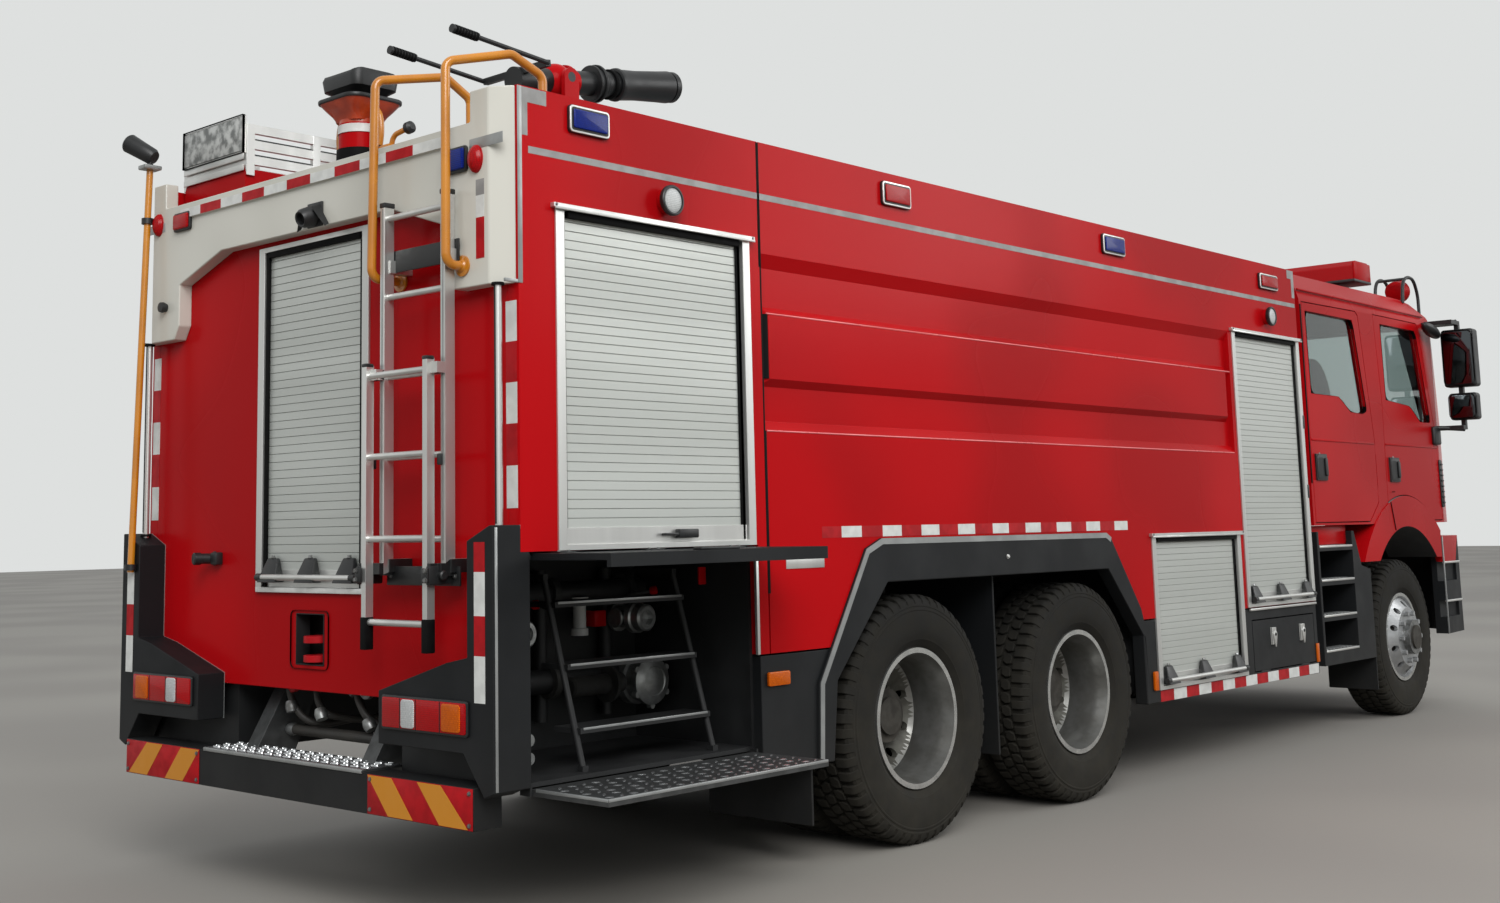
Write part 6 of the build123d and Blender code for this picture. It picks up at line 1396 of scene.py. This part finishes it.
def pad(size, crown, pull, channels=(), taper=0):
    """A stuffed form round the origin, flat below: crowned above, its sides pulled in between its corners, with
    sewn channels across it at shares of its length, a welt along its edge, and one end narrower by a share."""
    half = [v / 2 for v in size]
    square, dip, fade, spread = 7, 0.16, 2.718, 0.035

    def place(u, v, w):
        swell = sum(max(abs(t), 1e-6) ** square for t in (u, v, w)) ** (1 / square)
        a, b, c = u / swell, v / swell, w / swell
        narrow = 1 - taper * max(0, a) ** 2
        x = a * half[0] * (1 - pull * (1 - b * b) * abs(a) ** 3)
        y = b * half[1] * narrow * (1 - pull * (1 - a * a) * abs(b) ** 3)
        rise = 1
        if c > 0:
            rise += crown * (1 - a * a) * (1 - b * b)
            for share in channels:
                rise -= dip * (1 - b ** 6) * fade ** (-((a - share) / spread) ** 2)
        return Vector((x, y, c * half[2] * rise))

    shape = bmesh.new()
    bmesh.ops.create_cube(shape, size=2)
    bmesh.ops.subdivide_edges(shape, edges=shape.edges, cuts=31, use_grid_fill=True)
    for vert in shape.verts:
        vert.co = place(*vert.co)
    bmesh.ops.recalc_face_normals(shape, faces=shape.faces)
    turn = [-0.98 + 1.96 * k / 14 for k in range(15)]
    loop = [(t, -1) for t in turn] + [(1, t) for t in turn] + [(-t, 1) for t in turn] + [(-1, -t) for t in turn]
    welt = pipe([place(u, v, 0.62) for u, v in loop + loop[:2]], 4.5, 0, 4)
    return shape, welt


class TRUCK_OT_seats(bpy.types.Operator):
    """Two front seats and the rear bench, padded and sewn, on their moulded bases"""
    bl_idname = "truck.seats"
    bl_label = "Seats"

    def execute(self, context):
        floor = CAB_FLOOR
        bases = Piece("seat_bases", "cab", "black", "nut", slot=SLOT_OF["cab_interior"])
        for out in (-1, 1):
            y = out * 605
            bases.put(cube((3370, y - 215, floor), (3730, y + 215, floor + 240), 26, 3))
            bases.put(cube((3330, y - 245, floor + 240), (3775, y + 245, floor + 300), 18, 3))
            bases.put(bar((3330, y - 262, floor + 330), (3330, y + 262, floor + 330), 20, edge=4), 1)
        bases.put(cube((2130, -990, floor), (2610, 990, floor + 270), 30, 3))
        bases.done()
        seats = [("seat_cushion", (3550, 605, floor + 372), 0, (500, 540, 140), (-0.3, 0.35), 0),
                 ("seat_back", (3322, 605, floor + 790), 98, (740, 530, 120), (-0.45, -0.05, 0.4), 0.3)]
        for name, spot, lean, size, channels, taper in seats:
            for side, out in SIDES:
                padded_piece(f"{name}_{side}", (spot[0], out * spot[1], spot[2]), lean, size, channels, taper)
        for k, y in enumerate((-662, 0, 662)):
            padded_piece(f"bench_cushion_{k}", (2370, y, floor + 352), 0, (500, 655, 150), (-0.3, 0.35), 0)
            padded_piece(f"bench_back_{k}", (2092, y, floor + 800), 95, (740, 650, 110), (-0.4, 0.2), 0.05)
        return {"FINISHED"}


def padded_piece(name, spot, lean, size, channels, taper):
    """One cushion at a place, leaned back from level by some degrees, with its welt."""
    made = Piece(name, "cab", "cloth", "black", slot=SLOT_OF["cab_interior"])
    matrix = Matrix.Translation(spot) @ Matrix.Rotation(radians(-lean), 4, "Y")
    if lean:
        matrix = matrix @ Matrix.Rotation(radians(180), 4, "X")
    for finish, shape in enumerate(pad(size, 0.28, 0.07, channels, taper)):
        shape.transform(matrix)
        made.put(shape, finish)
    made.done(60)


# Stage

class TRUCK_OT_stage(bpy.types.Operator):
    """Pale floor, soft light and the camera at the photograph's angle"""
    bl_idname = "truck.stage"
    bl_label = "Stage"

    def execute(self, context):
        scene = context.scene
        shape = bmesh.new()
        bmesh.ops.create_grid(shape, x_segments=1, y_segments=1, size=70)
        bmesh.ops.translate(shape, vec=(0, 0, -0.002), verts=shape.verts)
        mesh = as_mesh(shape, "floor")
        floor = bpy.data.objects.new("floor", mesh)
        mesh.materials.append(surface("floated_concrete", "#8A867F", "#84807A", 2500, (0.75, 0.9), grain=(30, 0.4)))
        scene.collection.objects.link(floor)
        world = bpy.data.worlds.new("overcast")
        world.use_nodes = True
        tree = world.node_tree
        tree.nodes.clear()
        # Eyes, gloss and glass see a flat pale sky. What lights the truck is bright overhead and dim at eye level
        rays = add(tree, "ShaderNodeLightPath")
        seen = add(tree, "ShaderNodeMath", {"operation": "MAXIMUM"}, {0: rays.outputs["Is Camera Ray"],
                                                                      1: rays.outputs["Is Glossy Ray"]})
        seen = add(tree, "ShaderNodeMath", {"operation": "MAXIMUM"}, {0: seen.outputs[0],
                                                                      1: rays.outputs["Is Transmission Ray"]})
        way = add(tree, "ShaderNodeTexCoord").outputs["Generated"]
        height = add(tree, "ShaderNodeSeparateXYZ", None, {"Vector": way}).outputs["Z"]
        rise = add(tree, "ShaderNodeMapRange", {"interpolation_type": "SMOOTHSTEP", "From Min": 0, "From Max": 0.55,
                                                "To Min": 0.14, "To Max": 1.05}, {"Value": height}).outputs["Result"]
        glow = add(tree, "ShaderNodeMix", {"data_type": "RGBA", 6: (0, 0, 0, 1), 7: linear("#F2F6FA")}, {0: rise})
        sky = add(tree, "ShaderNodeMix", {"data_type": "RGBA", 7: linear("#DEE0DF")},
                  {0: seen.outputs[0], 6: glow.outputs[2]})
        light = add(tree, "ShaderNodeBackground", {"Strength": 1}, {"Color": sky.outputs[2]})
        add(tree, "ShaderNodeOutputWorld", None, {"Surface": light.outputs["Background"]})
        scene.world = world
        for name, place, aim, size, power in (("key", (-13, -13, 12), (-1, 0, 1.5), 10, 2700),
                                              ("fill", (12, -13, 9), (2, 0, 1.5), 9, 820)):
            lamp = bpy.data.lights.new(name, "AREA")
            lamp.size, lamp.energy = size, power
            holder = bpy.data.objects.new(name, lamp)
            holder.location = place
            holder.rotation_euler = (Vector(aim) - Vector(place)).to_track_quat("-Z", "Y").to_euler()
            scene.collection.objects.link(holder)
        camera = bpy.data.cameras.new("camera")
        ahead = Vector((cos(CAMERA_YAW) * cos(CAMERA_PITCH), sin(CAMERA_YAW) * cos(CAMERA_PITCH), sin(CAMERA_PITCH)))
        right = Vector((sin(CAMERA_YAW), -cos(CAMERA_YAW), 0))
        above = right.cross(ahead)
        across = cos(CAMERA_ROLL) * right + sin(CAMERA_ROLL) * above
        up = -sin(CAMERA_ROLL) * right + cos(CAMERA_ROLL) * above
        camera.sensor_width = 36
        camera.lens = 36 * PHOTO_FOCAL / PHOTO[0]
        camera.shift_x = (PHOTO[0] / 2 - PHOTO_CENTRE[0]) / PHOTO[0]
        camera.shift_y = (PHOTO_CENTRE[1] - PHOTO[1] / 2) / PHOTO[0]
        camera.clip_end = 400
        holder = bpy.data.objects.new("camera", camera)
        holder.matrix_world = Matrix.Translation(CAMERA_AT) @ Matrix((across, up, -ahead)).transposed().to_4x4()
        scene.collection.objects.link(holder)
        scene.camera = holder
        scene.view_settings.view_transform = "Standard"
        return {"FINISHED"}


class TRUCK_PT_panel(bpy.types.Panel):
    """Buttons for each step, with the colours and sizes they use"""
    bl_idname = "TRUCK_PT_panel"
    bl_label = "Fire Truck"
    bl_space_type = "VIEW_3D"
    bl_region_type = "UI"
    bl_category = "Fire Truck"

    def draw(self, context):
        for group in (context.scene.truck_colours, context.scene.truck_sizes):
            for key in group.__annotations__:
                self.layout.prop(group, key)
        for step in STEPS:
            self.layout.operator(step.bl_idname)


STEPS = (TRUCK_OT_stage, TRUCK_OT_panels, TRUCK_OT_tyres, TRUCK_OT_markings, TRUCK_OT_lamps, TRUCK_OT_shutters,
         TRUCK_OT_rear, TRUCK_OT_ladders, TRUCK_OT_roof, TRUCK_OT_bays, TRUCK_OT_cab, TRUCK_OT_joints, TRUCK_OT_seats)
CLASSES = (TruckColours, TruckSizes, *STEPS, TRUCK_PT_panel)


def register():
    for kind in CLASSES:
        bpy.utils.register_class(kind)
    bpy.types.Scene.truck_colours = bpy.props.PointerProperty(type=TruckColours)
    bpy.types.Scene.truck_sizes = bpy.props.PointerProperty(type=TruckSizes)


def unregister():
    del bpy.types.Scene.truck_colours
    del bpy.types.Scene.truck_sizes
    for kind in reversed(CLASSES):
        bpy.utils.unregister_class(kind)


def main():
    register()
    FINISH.update(make_finishes(bpy.context.scene.truck_colours))
    for step in STEPS:
        group, name = step.bl_idname.split(".")
        getattr(getattr(bpy.ops, group), name)()


if __name__ == "__main__":
    main()
